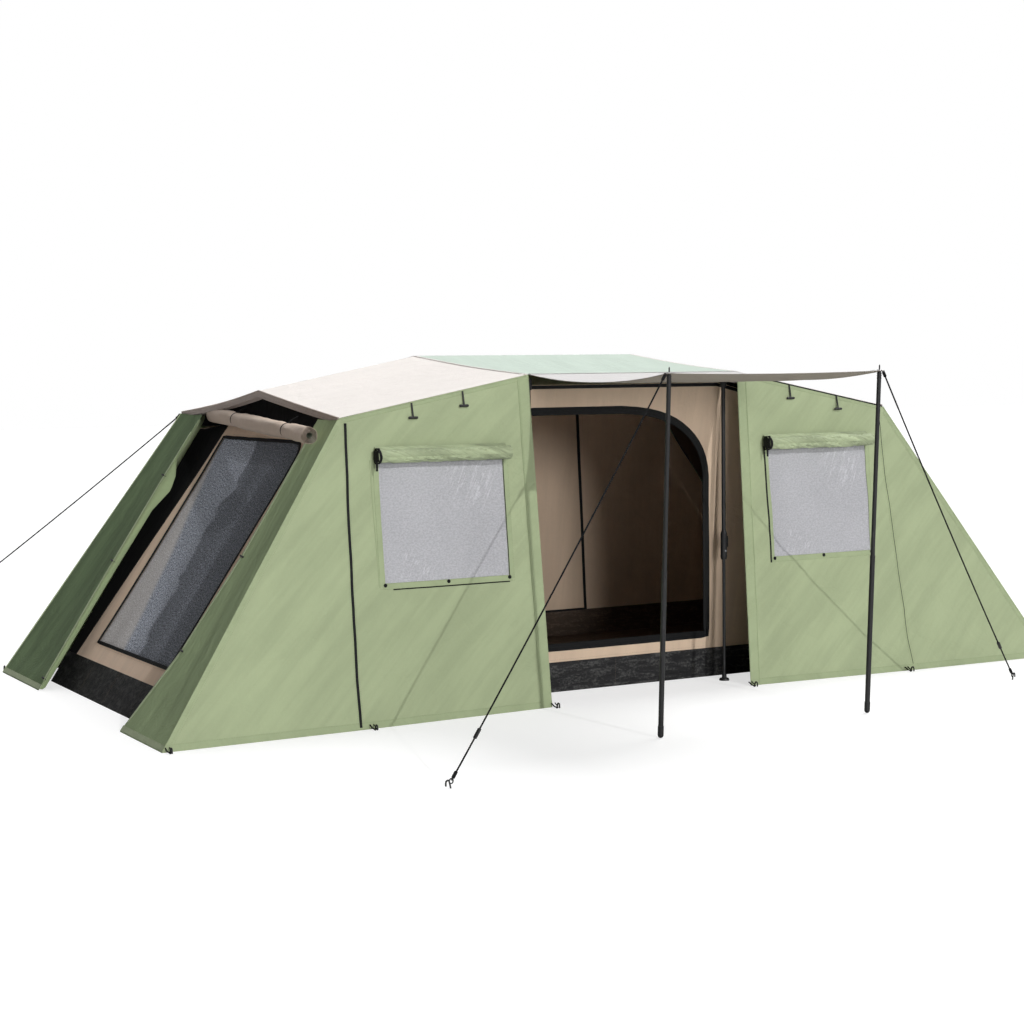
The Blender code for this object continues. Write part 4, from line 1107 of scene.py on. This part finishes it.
def end_roof(sx, u, v):
    """End roof cloth: u from the hub to the end, v from -1 at the front eave to 1 at the back."""
    t = ridge_share(v)
    point = RIDGE_HUB.lerp(RIDGE_END, u).lerp(EAVE_CENTRE.lerp(EAVE_END, u), t)
    dip = hump(t)
    point.z -= dip * (0.0099 + 0.008 * hump(u))
    point.z += folds(point.x, math.copysign(point.y, v), 12.0, 40.0 + sx, 0.8) * dip * hump(min(u * 1.2, 1.0))
    point.x -= 0.020 * dip * smooth((u - 0.8) / 0.2)
    return vec(sx * point.x, math.copysign(point.y, v), point.z + 0.0015)


def centre_roof(u, v):
    t = ridge_share(v)
    ridge = vec(RIDGE_HUB.x * u, 0.0, RIDGE_HUB.z)
    point = ridge.lerp(vec(EAVE_CENTRE.x * u, EAVE_CENTRE.y, EAVE_CENTRE.z), t)
    dip = hump(t)
    point.z -= dip * 0.022 * (1.0 - 0.55 * u * u)
    point.z += folds(point.x * 1.2, math.copysign(point.y, v), 70.0, 44.0, 0.6) * dip * (1.0 - u * u)
    return vec(point.x, math.copysign(point.y, v), point.z + 0.0015)


def roofs():
    """Three roof cloths with their seams, eave hems and stitching."""
    centre = Bag().grid(lambda u, v: centre_roof(2 * u - 1, 2 * v - 1), HIGH, 36, 60, (1.64, 2.78))
    centre = centre.piece("roof_cloth_centre", "mint", "roof", "roof_mint", "fly_roof_centre")
    for hand, sx in SIDES:
        cloth = Bag().grid(lambda u, v: end_roof(sx, u, 2 * v - 1), HIGH, 36, 72, (1.20, 2.75))
        cloth = cloth.piece("roof_cloth_" + hand, "cream", "roof", "roof_cream", "fly_roof_" + hand)

        seam, thread = Bag(), Bag()
        line = [(end_roof(sx, 0.006, v), UP) for v in np.linspace(-0.995, 0.995, 50)]
        seam.tape(line, 0.026, 0.0016)
        for offset in (-0.009, 0.009):
            thread.stitches([(p + vec(offset, 0, 0.0018), n) for p, n in line])
        for sy in (-1, 1):
            normal = vec(0.0, sy * 0.25, 1.0).normalized()
            edge = [(end_roof(sx, u, sy * 0.985), normal) for u in np.linspace(0.01, 0.985, 24)]
            seam.tape(edge, 0.026, 0.0014)
            thread.stitches([(p - vec(0, sy * 0.010, -0.0016), n) for p, n in edge])
        seam.piece("roof_seams_" + hand, "cream", "roof", "roof_cream")
        thread.piece("roof_stitching_" + hand, "thread_pale", "roof", "roof_cream")
        gable(hand, sx)


def gable(hand, sx):
    """Heavy double hem that hangs along the open end of the roof, and a black sheet behind it that paints the
    shade in the cavity under the roof.
    """
    outward = vec(sx, 0.0, 0.0)

    def hang(depth_near, depth_far, inset, seed, flare):
        def place(u, v):
            at = end_roof(sx, 1.0, 2 * u - 1)
            out = ripple(at.y * 4.0, v * 2.0, seed) * 0.006 * v + flare * v - inset
            return at + vec(sx * out, 0.0, -0.001 - lerp(depth_far, depth_near, hump(u)) * v)
        return place

    outer, lining = hang(0.036, 0.030, 0.001, 3.0, 0.006), hang(0.050, 0.038, 0.016, 8.0, -0.014)
    for name, place in (("outer", outer), ("lining", lining)):
        bag = Bag().grid(place, outward * 30.0, 60, 6, (2.75, 0.07), 0.0028)
        if name == "outer":
            shares = np.linspace(0.0, 1.0, 61)
            bag.tube([place(u, 1.0) for u in shares], 0.0045)
            bag.tube([place(u, 0.0) + vec(sx * 0.002, 0, 0.001) for u in shares], 0.0050)
        bag.piece("gable_hem_%s_%s" % (name, hand), "hem_grey", "roof", "roof_cream")

    # painted shade: a black sheet that fills the cavity between the inner tent and the roof
    def shade_sheet_place(u, v):
        y = lerp(-1.0, 1.0, u)
        top = end_roof(sx, 0.90, y)
        low_z = lerp(1.705, 1.665, abs(y))
        low = vec(sx * (inner_length(low_z) + 0.008), y * 1.20, low_z)
        sag = 0.02 * hump(v) * (0.6 + 0.4 * math.sin(9.0 * u))
        return low.lerp(vec(top.x, y * 1.22, top.z - 0.006), v) - outward * sag

    shade_sheet = Bag().grid(shade_sheet_place, outward * 30.0, 48, 4, (2.4, 0.16), 0.0010)
    shade_sheet.piece("gable_shade_sheet_" + hand, "wing_black", "roof", "tub_black")
    thread = Bag()
    thread.stitches([(outer(u, 0.72) + outward * 0.0008, outward) for u in np.linspace(0.01, 0.99, 60)])
    thread.piece("gable_stitching_" + hand, "thread_pale", "roof", "roof_cream")


def awning_place(u, v):
    """Awning cloth: u from -1 to 1 across, v from the eave to the outer edge."""
    bow, slack = 4.0 * v * (1.0 - v), (1.0 - u * u) * v
    half = lerp(EAVE_CENTRE.x, AWNING_OUT_X, v) - 0.022 * bow
    y = lerp(EAVE_CENTRE.y + 0.0006, AWNING_OUT_Y - 0.018 * slack, v)
    z = EAVE_CENTRE.z + 0.0015 - 0.052 * bow - 0.010 * slack + folds(u * half, y, 85.0, 55.0, 0.5) * bow
    return vec(u * half, -y, z)


def awning():
    """The sheet with its hems above and below, its eyelets and their patches."""
    cloth = Bag().grid(lambda u, v: awning_place(2 * u - 1, v), HIGH, 44, 44, (1.51, 1.48), CLOTH, (0, 1))
    cloth = cloth.piece("awning_cloth", "awning awning_under", "roof", "awning_pale", "awning_canopy")
    under_hem, hem, thread, metal, patch = (Bag() for _ in range(5))
    line = liner(awning_place, UP, 5.0)

    def edges(side, end, out, across):
        """The two long edges and the outer one, each a little way in."""
        return [[(x, v) for v in np.linspace(0.02, end, 30)] for x in (-side, side)] + [
            [(u, out) for u in np.linspace(-across, across, 30)]]

    for edge in edges(0.985, 0.995, 0.985, 0.99):
        hem.tape(line(edge), 0.026, 0.0014)
        under_hem.tape([(p - n * 0.0016, -n) for p, n in line(edge)], 0.026, 0.0014)
    for edge in edges(0.965, 0.985, 0.968, 0.97):
        thread.stitches(line(edge, 0.0006))
    y, z = -EAVE_CENTRE.y - 0.001, EAVE_CENTRE.z + 0.003
    hem.tape([(vec(x, y, z), UP) for x in np.linspace(-0.76, 0.76, 30)], 0.030, 0.0014)
    for sx in (-1, 1):
        at = vec(sx * EYELET.x, -EYELET.y, EYELET.z) + UP * 0.0022
        metal.ring(at, UP, 0.0115, 0.0032, 28)
        metal.ring(at - UP * 0.0024, UP, 0.0115, 0.0018, 28)
        corner = []
        for angle in angles(24):
            reach = 0.030 + 0.006 * math.cos(4.0 * angle)
            x, y = math.cos(angle) * reach - sx * 0.008, math.sin(angle) * reach + 0.008
            corner.append((at + vec(x, y, -0.0012), UP))
        patch.tape(corner, 0.020, closed=True)
        thread.stitches([(p + UP * 0.0012, n) for p, n in corner])
    under_hem.piece("awning_hems_under", "awning_under", "roof", "awning_pale")
    hem.piece("awning_hems", "awning", "roof", "awning_pale")
    thread.piece("awning_stitching", "thread_pale", "roof", "awning_pale")
    metal.piece("awning_eyelets", "bare", "roof", "button_grey")
    patch.piece("awning_corner_patches", "awning", "roof", "awning_pale")


def eave_toggles():
    """Short cords with bar toggles that hang from the eaves."""
    bag = Bag()
    for x, sy in [(x, sy) for sy in (-1, 1) for x in (-1.54, -1.21, 1.19, 1.59)]:
        top = eave_z(abs(x)) - 0.008
        a = vec(x, sy * (wall_reach(abs(x), top) + 0.007), top)
        b = vec(x + 0.002, sy * (wall_reach(abs(x), top - 0.085) + 0.012), top - 0.082)
        bag.tape([(a.lerp(b, k / 4), vec(0, sy, 0)) for k in range(5)], 0.010, 0.0020, 0.001)
        bag.pill(b - UP * 0.004, (1.0, 0.0, 0.0), 0.062, 0.0080, 0.8, UP)
    bag.piece("eave_toggles", "plastic", "roof", "steel_black")


# ---------------------------------------------------------------- inner tent


def inner_side(sy, x, z):
    top = lerp(INNER_EAVE_Z, INNER_EAVE_END_Z, min(max((abs(x) - INNER_EAVE_X) / 1.195, 0.0), 1.0))
    edge = min(top - z, z - TUB_HEIGHT)
    if sy < 0 and DOOR_LEFT - 0.02 < x < DOOR_RIGHT + 0.02:
        edge = min(edge, 0.05)
    slack = folds(x, z, 87.0, 60.0 + sy, 1.4) * smooth((edge + 0.03) / 0.15)
    return vec(x, sy * (inner_width(z) - 0.004 + slack), z)


def inner_end(sx, y, z, lift=0.0):
    hollow = 0.014 * smooth((0.95 - abs(y)) / 0.5) * smooth((z - TUB_HEIGHT) / 0.4) * smooth((1.70 - z) / 0.4)
    slack = folds(y, z, 86.0, 70.0 + sx, 0.7) * smooth((z - TUB_HEIGHT) / 0.2) - hollow + lift
    return vec(sx * (inner_length(z) - 0.0015 + slack * 0.83), y, z + slack * 0.56)


def door_outline():
    outline = [(DOOR_LEFT, DOOR_BOTTOM), (DOOR_RIGHT, DOOR_BOTTOM)]
    for k in range(15):
        angle = 0.5 * math.pi * k / 14
        out, up = math.cos(angle) ** DOOR_SQUARE, math.sin(angle) ** DOOR_SQUARE
        outline.append((DOOR_ROUND[0] * out, DOOR_TOP - DOOR_ROUND[1] * (1.0 - up) - 0.035 * out * up))
    return [*outline, (DOOR_LEFT, DOOR_TOP)]


def end_window_loop(grow=0.0):
    """Window outline, with one square and one rounded upper corner."""
    low, high, half = END_WINDOW_LOW - grow, END_WINDOW_HIGH + grow, END_WINDOW_HALF + grow
    loop = [(half, high), (half * 1.015, low), (-half, low)]
    for k in range(7):
        angle = 0.5 * math.pi * k / 6
        loop.append((-half + 0.10 * (1.0 - math.cos(angle)), high - 0.10 * (1.0 - math.sin(angle))))
    return loop


def inner_walls():
    """Front wall with the doorway, back wall and the two end walls."""
    low = TUB_HEIGHT + 0.001
    end_low, end_high = inner_length(low) - 0.006, inner_length(INNER_EAVE_END_Z) - 0.006
    outline = [(-end_low, low), (end_low, low), (end_high, INNER_EAVE_END_Z), (INNER_EAVE_X, INNER_EAVE_Z),
               (-INNER_EAVE_X, INNER_EAVE_Z), (-end_high, INNER_EAVE_END_Z)]
    for row, sy in ROWS:
        facing, holes, area = (FRONT, [door_outline()], 5.58) if sy < 0 else (BACK, [], 7.55)
        cloth = Bag().panel(lambda x, z: inner_side(sy, x, z), facing, outline, holes, 0.045)
        cloth = cloth.piece("inner_cloth_" + row, "tan", "inner", "inner_tan", "inner_wall_" + row)
    inner_side_trim(end_high)
    for hand, sx in SIDES:
        inner_end_wall(hand, sx)


def inner_side_trim(end_high):
    """Binding of the doorway, eave bindings, seams and stitching of the front and back."""
    black, thread = Bag(), Bag()
    front = liner(lambda x, z: inner_side(-1, x, z), (0.0, -1.0, 0.05))
    edge = front(door_outline(), closed=True)
    black.tape(edge, 0.050, 0.0030, closed=True)
    black.tape([(p + vec(0, 0.003, 0), vec(0, 1, 0)) for p, _ in edge], 0.050, 0.0025, closed=True)
    black.tape([(p + n * 0.003, n) for p, n in edge], 0.007, 0.0018, closed=True)
    at, normal = front([(DOOR_RIGHT, 0.33), (DOOR_RIGHT, 0.335)], 0.004)[0]
    black.block(at + normal * 0.004, ((1, 0, 0), UP, normal), (0.012, 0.026, 0.008))
    black.tape([(at + normal * 0.009 - UP * 0.018 * k, normal) for k in range(4)], 0.008, 0.0018)
    for sy in (-1, 1):
        line = liner(lambda x, z: inner_side(sy, x, z), (0, sy, 0), 0.05)
        eaves = [(end_high, INNER_EAVE_END_Z - 0.006), (INNER_EAVE_X, INNER_EAVE_Z - 0.006)]
        black.tape(line([(-x, z) for x, z in eaves] + eaves[::-1]), 0.022, 0.0022)
        thread.stitches(line([(-2.88, TUB_HEIGHT + 0.016), (2.88, TUB_HEIGHT + 0.016)], 0.0008))
    for seam, width in (([(1.13, TUB_HEIGHT), (1.13, 0.9), (1.13, 1.80)], 0.024),
                        ([(-2.85, TUB_HEIGHT + 0.004), (1.13, TUB_HEIGHT + 0.004)], 0.016)):
        black.tape([(p - n * 0.004, -n) for p, n in line(seam)], width, 0.0025)
    black.piece("inner_zips_sides", "zip", "inner", "steel_black")
    thread.piece("inner_stitching_sides", "thread_tan", "inner", "inner_tan")


def inner_end_wall(hand, sx):
    """Tan panel round a dark mesh window, with a black sheet of painted shade on either side."""
    outward = vec(sx * 0.83, 0.0, 0.56)
    low, top = TUB_HEIGHT + 0.001, INNER_EAVE_END_Z

    def place(y, z):
        return inner_end(sx, y, z)

    def tan_half(z):
        return lerp(0.958, 0.749, (z - 0.16) / 1.39)

    def net_place(y, z):
        wave = ripple(y * 3.0, z * 1.6, 80.0 + sx) * 0.012
        return inner_end(sx, y, z, -0.006 + wave * smooth((0.66 - abs(y)) / 0.2) - 0.004)

    foot, shoulder, shoulder_z = tan_half(low), tan_half(top), top + 0.048
    outline = [(-foot, low), (foot, low), (shoulder, shoulder_z), (0.0, INNER_RIDGE_END_Z),
               (-shoulder, shoulder_z)]
    cloth = Bag().panel(place, outward * 20.0, outline, [end_window_loop()], 0.04)
    cloth = cloth.piece("inner_cloth_end_" + hand, "tan_end", "inner", "inner_tan", "inner_wall_" + hand)

    # painted shade: black sheets beside the tan panel where the gap behind the outer tent falls in shade
    shade_wings = Bag()
    for sy in (-1, 1):
        outline = [(sy * foot, low), (sy * (inner_width(low) - 0.006), low),
                   (sy * (inner_width(top) - 0.006), top), (sy * shoulder, shoulder_z)]
        shade_wings.panel(place, outward * 20.0, outline, (), 0.05, CLOTH, (0, 1))
    shade_wings.piece("inner_shade_wings_" + hand, "wing_black wing_inside", "inner", "tub_black")
    mesh = Bag().panel(net_place, outward * 20.0, end_window_loop(0.012), (), 0.03, 0.0010)
    mesh = mesh.piece("end_window_mesh_" + hand, "net_dark", "inner", "tub_black")

    black, thread = Bag(), Bag()
    line, whole = liner(place, outward, 0.05), liner(place, outward, 5.0)
    black.tape(line(end_window_loop(0.004), closed=True), 0.024, 0.0030, closed=True)
    black.tape(line(end_window_loop(0.006), 0.003, closed=True), 0.006, 0.0016, closed=True)
    for sy in (-1, 1):
        run = [(sy * tan_half(z), z) for z in np.linspace(low, top + 0.04, 20)]
        black.tape(whole(run), 0.014, 0.0020)
        thread.stitches(whole([(y - sy * 0.014, z) for y, z in run], 0.0008))
    thread.stitches(line(end_window_loop(0.024), 0.0008, closed=True))
    black.piece("end_window_zip_" + hand, "zip", "inner", "steel_black")
    thread.piece("end_stitching_" + hand, "thread_tan", "inner", "inner_tan")
    end_roll(hand, sx)


def end_roll(hand, sx):
    """Rolled cover that hangs across the open end, tied in two places."""
    front, back = END_ROLL_FRONT[hand], vec(sx * 1.915, 0.930, 1.750)
    radius, ties = 0.054, (0.20, 0.72)

    def bulge(u, angle):
        soft = 0.0065 * ripple(u * 5.0 - angle * 0.35, angle * 1.1, 12.0)
        fine = 0.0022 * ripple(u * 26.0 - angle * 0.8, angle * 1.8, 6.0)
        near_tie = 0.006 * sum(bell(u - at, 0.09) for at in ties) * ripple(angle * 2.4, u * 9.0, 2.0)
        return soft + fine + near_tie - 0.013 * sum(bell(u - at, 0.030) for at in ties) - 0.003

    roll = Bag()
    cut = rolled_sheet(roll, front, back, radius + 0.002, 5.0, 0.0078, bulge, math.pi * 0.9, 24, (0, 1))
    roll = roll.piece("end_cover_" + hand, "tan_roll green_dark", "roof", "inner_tan",
                      "end_cover_roll_" + hand)
    _, side, other = axes_along(front, back)
    bag = Bag()
    for at in ties:
        middle = front.lerp(back, at)
        rays = [spoke(side, other, angle) for angle in angles(28)]
        bag.tape([(middle + ray * (radius - 0.0095), ray) for ray in rays], 0.016, 0.0020, closed=True)
        bag.tube([middle + side * (radius + rise) - vec(sx * out, 0, 0)
                  for rise, out in ((-0.010, 0.0), (0.012, 0.03), (0.030, 0.07))], 0.0028, 6)
    bag.piece("end_cover_ties_" + hand, "web", "roof", "steel_black")


def ceiling():
    """Inner tent's ceiling and the clips that hang it from the frame."""
    ridge_end = vec(inner_length(INNER_RIDGE_END_Z), 0.0, INNER_RIDGE_END_Z)
    eave_end = vec(inner_length(INNER_EAVE_END_Z), inner_width(INNER_EAVE_END_Z), INNER_EAVE_END_Z)

    def place(u, v):
        s = lerp(-3.0, 3.0, u)
        a, share = min(abs(s), 1.0), max(abs(s) - 1.0, 0.0) / 2.0
        ridge = vec(INNER_RIDGE_X * a, 0.0, INNER_RIDGE_Z).lerp(ridge_end, share)
        eave = vec(INNER_EAVE_X * a, inner_width(INNER_EAVE_Z), INNER_EAVE_Z).lerp(eave_end, share)
        t = abs(2 * v - 1)
        point = ridge.lerp(eave, t)
        point.z += 0.007 - 0.020 * hump(t) + folds(point.x, point.y, 85.0, 90.0, 0.6) * hump(t)
        return vec(math.copysign(point.x, s), math.copysign(point.y, 2 * v - 1), point.z)

    cloth = Bag().grid(place, HIGH, 60, 32, (3.9, 2.5))
    cloth = cloth.piece("inner_ceiling_cloth", "tan", "roof", "inner_tan", "inner_ceiling")
    clips = Bag()
    for sx, sy in QUARTERS:
        for t in (0.25, 0.55, 0.85):
            start = vec(sx * lerp(0.80, 0.72, t), sy * 1.30 * t, lerp(2.06, 1.955, t))
            low = lerp(INNER_RIDGE_Z, INNER_EAVE_Z, min(start.y * sy / 1.235, 1.0))
            foot = vec(start.x, start.y, low + 0.004)
            clips.ring(start, (-0.08 * sx, 1.30 * sy, -0.105), 0.0135, 0.0030, 16, 6)
            clips.tape([(start.lerp(foot, k / 3), vec(sx, 0, 0)) for k in range(4)], 0.014, 0.0016)
    clips.piece("hanging_clips", "plastic", "roof", "plastic_black")


def tub():
    """Groundsheet with a raised crinkled skirt, dark brown inside."""
    def ring_point(u, z):
        """A place round the skirt, u from 0 to 4 with a side for each whole number."""
        length, width = inner_length(z), inner_width(z)
        corners = [(-length, -width), (length, -width), (length, width), (-length, width)]
        k, f = int(u) % 4, u - int(u)
        (ax, ay), (bx, by), way = corners[k], corners[(k + 1) % 4], ((0, -1), (1, 0), (0, 1), (-1, 0))[k]
        a = u * 3.0
        crinkle = ripple(a * 4.0, z * 9.0, 5.0) * 0.006 + ripple(a * 14.0, z * 26.0, 8.0) * 0.0035
        crinkle *= smooth(z / 0.03) * smooth((TUB_HEIGHT - z + 0.02) / 0.05)
        crinkle *= smooth(min(f, 1.0 - f) * (12.0 if k % 2 == 0 else 6.0))
        return vec(lerp(ax, bx, f) + way[0] * crinkle, lerp(ay, by, f) + way[1] * crinkle, z)

    columns, rows = 440, 9
    cells = [(column, TUB_HEIGHT * row / rows) for row in range(rows + 1) for column in range(columns)]
    verts = [ring_point(4.0 * column / columns, z) for column, z in cells]
    uvs = [(16.5 * column / columns, z) for column, z in cells]
    skirt, count, last = Bag(), len(verts), rows * columns
    skirt.add(verts, [], uvs)
    skirt.add([v - vec(v.x, v.y, 0.0).normalized() * 0.003 for v in verts], [], uvs)
    ring = [(column, (column + 1) % columns) for column in range(columns)]
    faces = [(a + j, a + n, a + columns + n, a + columns + j)
             for a in range(0, last, columns) for j, n in ring]
    skirt.face(faces, 0)
    skirt.face([[count + k for k in reversed(face)] for face in faces], 1)
    for j, n in ring:
        skirt.face([(last + j, last + n, count + last + n, count + last + j),
                    (n, j, count + j, count + n)], 0)

    def floor(u, v):
        half_x, half_y = inner_length(0.0), inner_width(0.0)
        x, y = lerp(-1.0, 1.0, u) * (half_x - 0.004), lerp(-1.0, 1.0, v) * (half_y - 0.004)
        bump = 0.004 * abs(ripple(x * 3.0, y * 3.0, 7.0)) + 0.002 * abs(ripple(x * 11.0, y * 11.0, 2.0))
        return vec(x, y, 0.004 + bump * smooth(min(half_x - abs(x), half_y - abs(y)) / 0.1))

    sheet = skirt.grid(floor, HIGH, 120, 46, (6.06, 2.22), 0.003, (1, 0))
    sheet = sheet.piece("groundsheet", "tub tub_inside", "ground", "tub_black", "inner_floor")
    seams, levels = Bag(), (0.01, 0.06, 0.12, 0.185)
    for x in (-2.1, -1.1, 0.0, 1.0, 2.1):
        seams.stitches([(vec(x, -(inner_width(z) + 0.004), z), vec(0, -1, 0)) for z in levels])
    for sx in (-1, 1):
        for y in (-0.5, 0.0, 0.5):
            normal = vec(sx, 0, 0.5).normalized()
            seams.stitches([(vec(sx * (inner_length(z) + 0.004), y, z), normal) for z in levels])
    seams.piece("groundsheet_stitching", "thread_tan", "ground", "tub_black")


# ---------------------------------------------------------------- frame details


# Radius, thickness, steps and sides of the grips' rings
GRIP_RIB, GRIP_RIM = (0.0212, 0.0021, 20, 6), (0.0208, 0.0022, 20, 6)


def lock_details():
    """Grip ribs and a latch on each telescoping lock, and caps at the leg elbows."""
    for row, sy in ROWS:
        for hand, sx in SIDES:
            place = row + "_" + hand
            low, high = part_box("centre_leg_upper_" + place)
            x, y = (low.x + high.x) / 2.0, (low.y + high.y) / 2.0
            bag = Bag()
            for z in (0.868 + 0.0105 * k for k in range(9)):
                bag.ring((x, y, z), UP, *GRIP_RIB)
            for z in (0.806, 0.815):
                bag.ring((x, y, z), UP, *GRIP_RIM)
            bag.block((x + sx * 0.0245, y, 0.905), ((sx, 0, 0), (0, 1, 0), UP), (0.012, 0.016, 0.070), 0.3)
            bag.ring((x, y, 1.935), UP, 0.0222, 0.0020, 20, 6)
            bag.piece("leg_lock_grip_" + place, "plastic", "roof", "plastic_black")

            pivot, foot = vec(sx * 1.950, sy * 1.270, 1.705), vec(sx * 2.980, sy * 1.360, 0.020)
            way = (foot - pivot).normalized()
            bag = Bag()
            for s in (1.020 + 0.010 * k for k in range(5)):
                bag.ring(pivot + way * s, way, *GRIP_RIB)
            for s in (1.098, 1.106):
                bag.ring(pivot + way * s, way, *GRIP_RIM)
            bag.piece("end_leg_grip_" + place, "plastic", "end_leg_upper_" + place, "plastic_black")


def pole_details():
    """Collar and snap button at the joint of each awning pole, and a cap under its spike."""
    for hand, sx in SIDES:
        top, foot = vec(EYELET.x * sx, -EYELET.y, EYELET.z), vec(EYELET.x * sx, -2.738, 0.017)
        way = (foot - top).normalized()
        collar, cap = Bag(), Bag()
        for s in (1.076, 1.084):
            collar.ring(top + way * s, way, 0.0150, 0.0018, sides=6)
        collar.pill(top + way * 1.105 - vec(0, 0.0150, 0), (0, -1, 0), 0.008, 0.0045)
        collar.piece("awning_pole_collar_" + hand, "plastic", "awning_pole_lower_" + hand, "plastic_black")
        for s in (0.016, 0.030, 0.044):
            cap.ring(top + way * s, way, 0.0128, 0.0020, sides=6)
        cap.piece("awning_pole_cap_" + hand, "plastic", "awning_pole_upper_" + hand, "plastic_black")


def peg_shape(bag, at, lean, rise):
    """Head of a steel peg: a bar out of the ground that hooks over at the top."""
    points = [at, at + UP * rise * 0.5 + lean * 0.004, at + UP * rise + lean * 0.008]
    for k in range(1, 7):
        points.append(at + UP * rise + lean * 0.020 + spoke(-lean, UP, math.pi * k / 6) * 0.012)
    bag.tube([*points, points[-1] - UP * 0.016], 0.0046)


def hem_pegs():
    """Webbing loops at the foot of the walls and the pegs through them."""
    bag, steel = Bag(), Bag()
    half = ((0.0, 0.012, 0.012), (0.030, 0.011, -0.002), (0.052, 0.004, -0.008))  # out, across and up
    for sx, sy in QUARTERS:
        way = vec(0.0, sy, 0.0)
        side = way.cross(UP)
        for ax in (GROUND_CENTRE.x - 0.005, GROUND_SEAM.x - 0.08, GROUND_CORNER.x - 0.03):
            at = vec(sx * ax, sy * (wall_reach(ax, 0.0) + 0.002), 0.014)
            loop = [at + way * out + side * across + UP * up for out, across, up in half]
            loop += [at + way * out - side * across + UP * up for out, across, up in reversed(half)]
            bag.tube(loop, 0.0040, 6, flat=0.7)
            peg_shape(steel, vec(at.x, at.y + sy * 0.044, 0.0), way, 0.022)
    bag.piece("peg_loops", "web", "ground", "steel_black")
    steel.piece("hem_pegs", "steel", "ground", "steel_black")


def guys():
    """Four taut guy ropes, each from its fitting to a slider and a loop round its peg."""
    steel = Bag()
    for name, (start, peg) in GUY_ENDS.items():
        way = (peg - start).normalized()
        side = way.cross(UP).normalized()
        first, last = start + way * 0.012, peg - way * 0.004
        shares = [k / GUY_STEPS for k in range(GUY_STEPS + 1)]
        points = [first.lerp(last, share) - UP * (GUY_SAG * 4.0 * share * (1.0 - share)) for share in shares]
        rope, knots, slide = Bag(), Bag(), Bag()
        rope.tube(points, GUY_DIAMETER / 2.0, 10)
        rope = rope.piece(name + "_rope", "rope", "wall", "guy_black", name)
        knots.pill(first + way * 0.012, way, 0.036, 0.0090)
        knots.ring(first - way * 0.004, side, 0.0100, 0.0030, 16)
        knots.pill(last - way * 0.032, way, 0.040, 0.0092)
        knots.ring(last + way * 0.004, side, 0.0125, 0.0032, 18)
        knots.piece(name + "_knots", "rope", "wall", "guy_black")
        at = points[-3].lerp(points[-2], 0.35)
        slide.block(at, (way, side, way.cross(side)), (0.058, 0.019, 0.014), 0.3)
        for shift in (-0.017, 0.017):
            slide.ring(at + way * shift, way.cross(side), 0.0072, 0.0026, 14, 6)
        slide.piece(name + "_slider", "plastic", "wall", "plastic_black")
        length = sum((b - a).length for a, b in zip(points, points[1:]))
        tuple(points[0])
        [tuple(p) for p in points]
        flat = vec(way.x, way.y, 0.0).normalized()
        peg_shape(steel, vec(peg.x, peg.y, 0.0) + flat * 0.004, flat, 0.030)
    steel.piece("guy_pegs", "steel", "ground", "steel_black")


def dress_frame():
    """Finishes for the CAD nodes that are shown as they are."""
    finish = {"steel_black": "steel", "plastic_black": "plastic", "button_grey": "button"}
    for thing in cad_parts.values():
        for slot in thing.material_slots:
            base = slot.material.name.split(".")[0] if slot.material else ""
            if base in finish:
                slot.material = MATS[finish[base]]


add_camera()
guys()
add_stage()
dress_frame()
outer_walls()
end_strips()
roofs()
awning()
eave_toggles()
inner_walls()
ceiling()
tub()
lock_details()
pole_details()
hem_pegs()
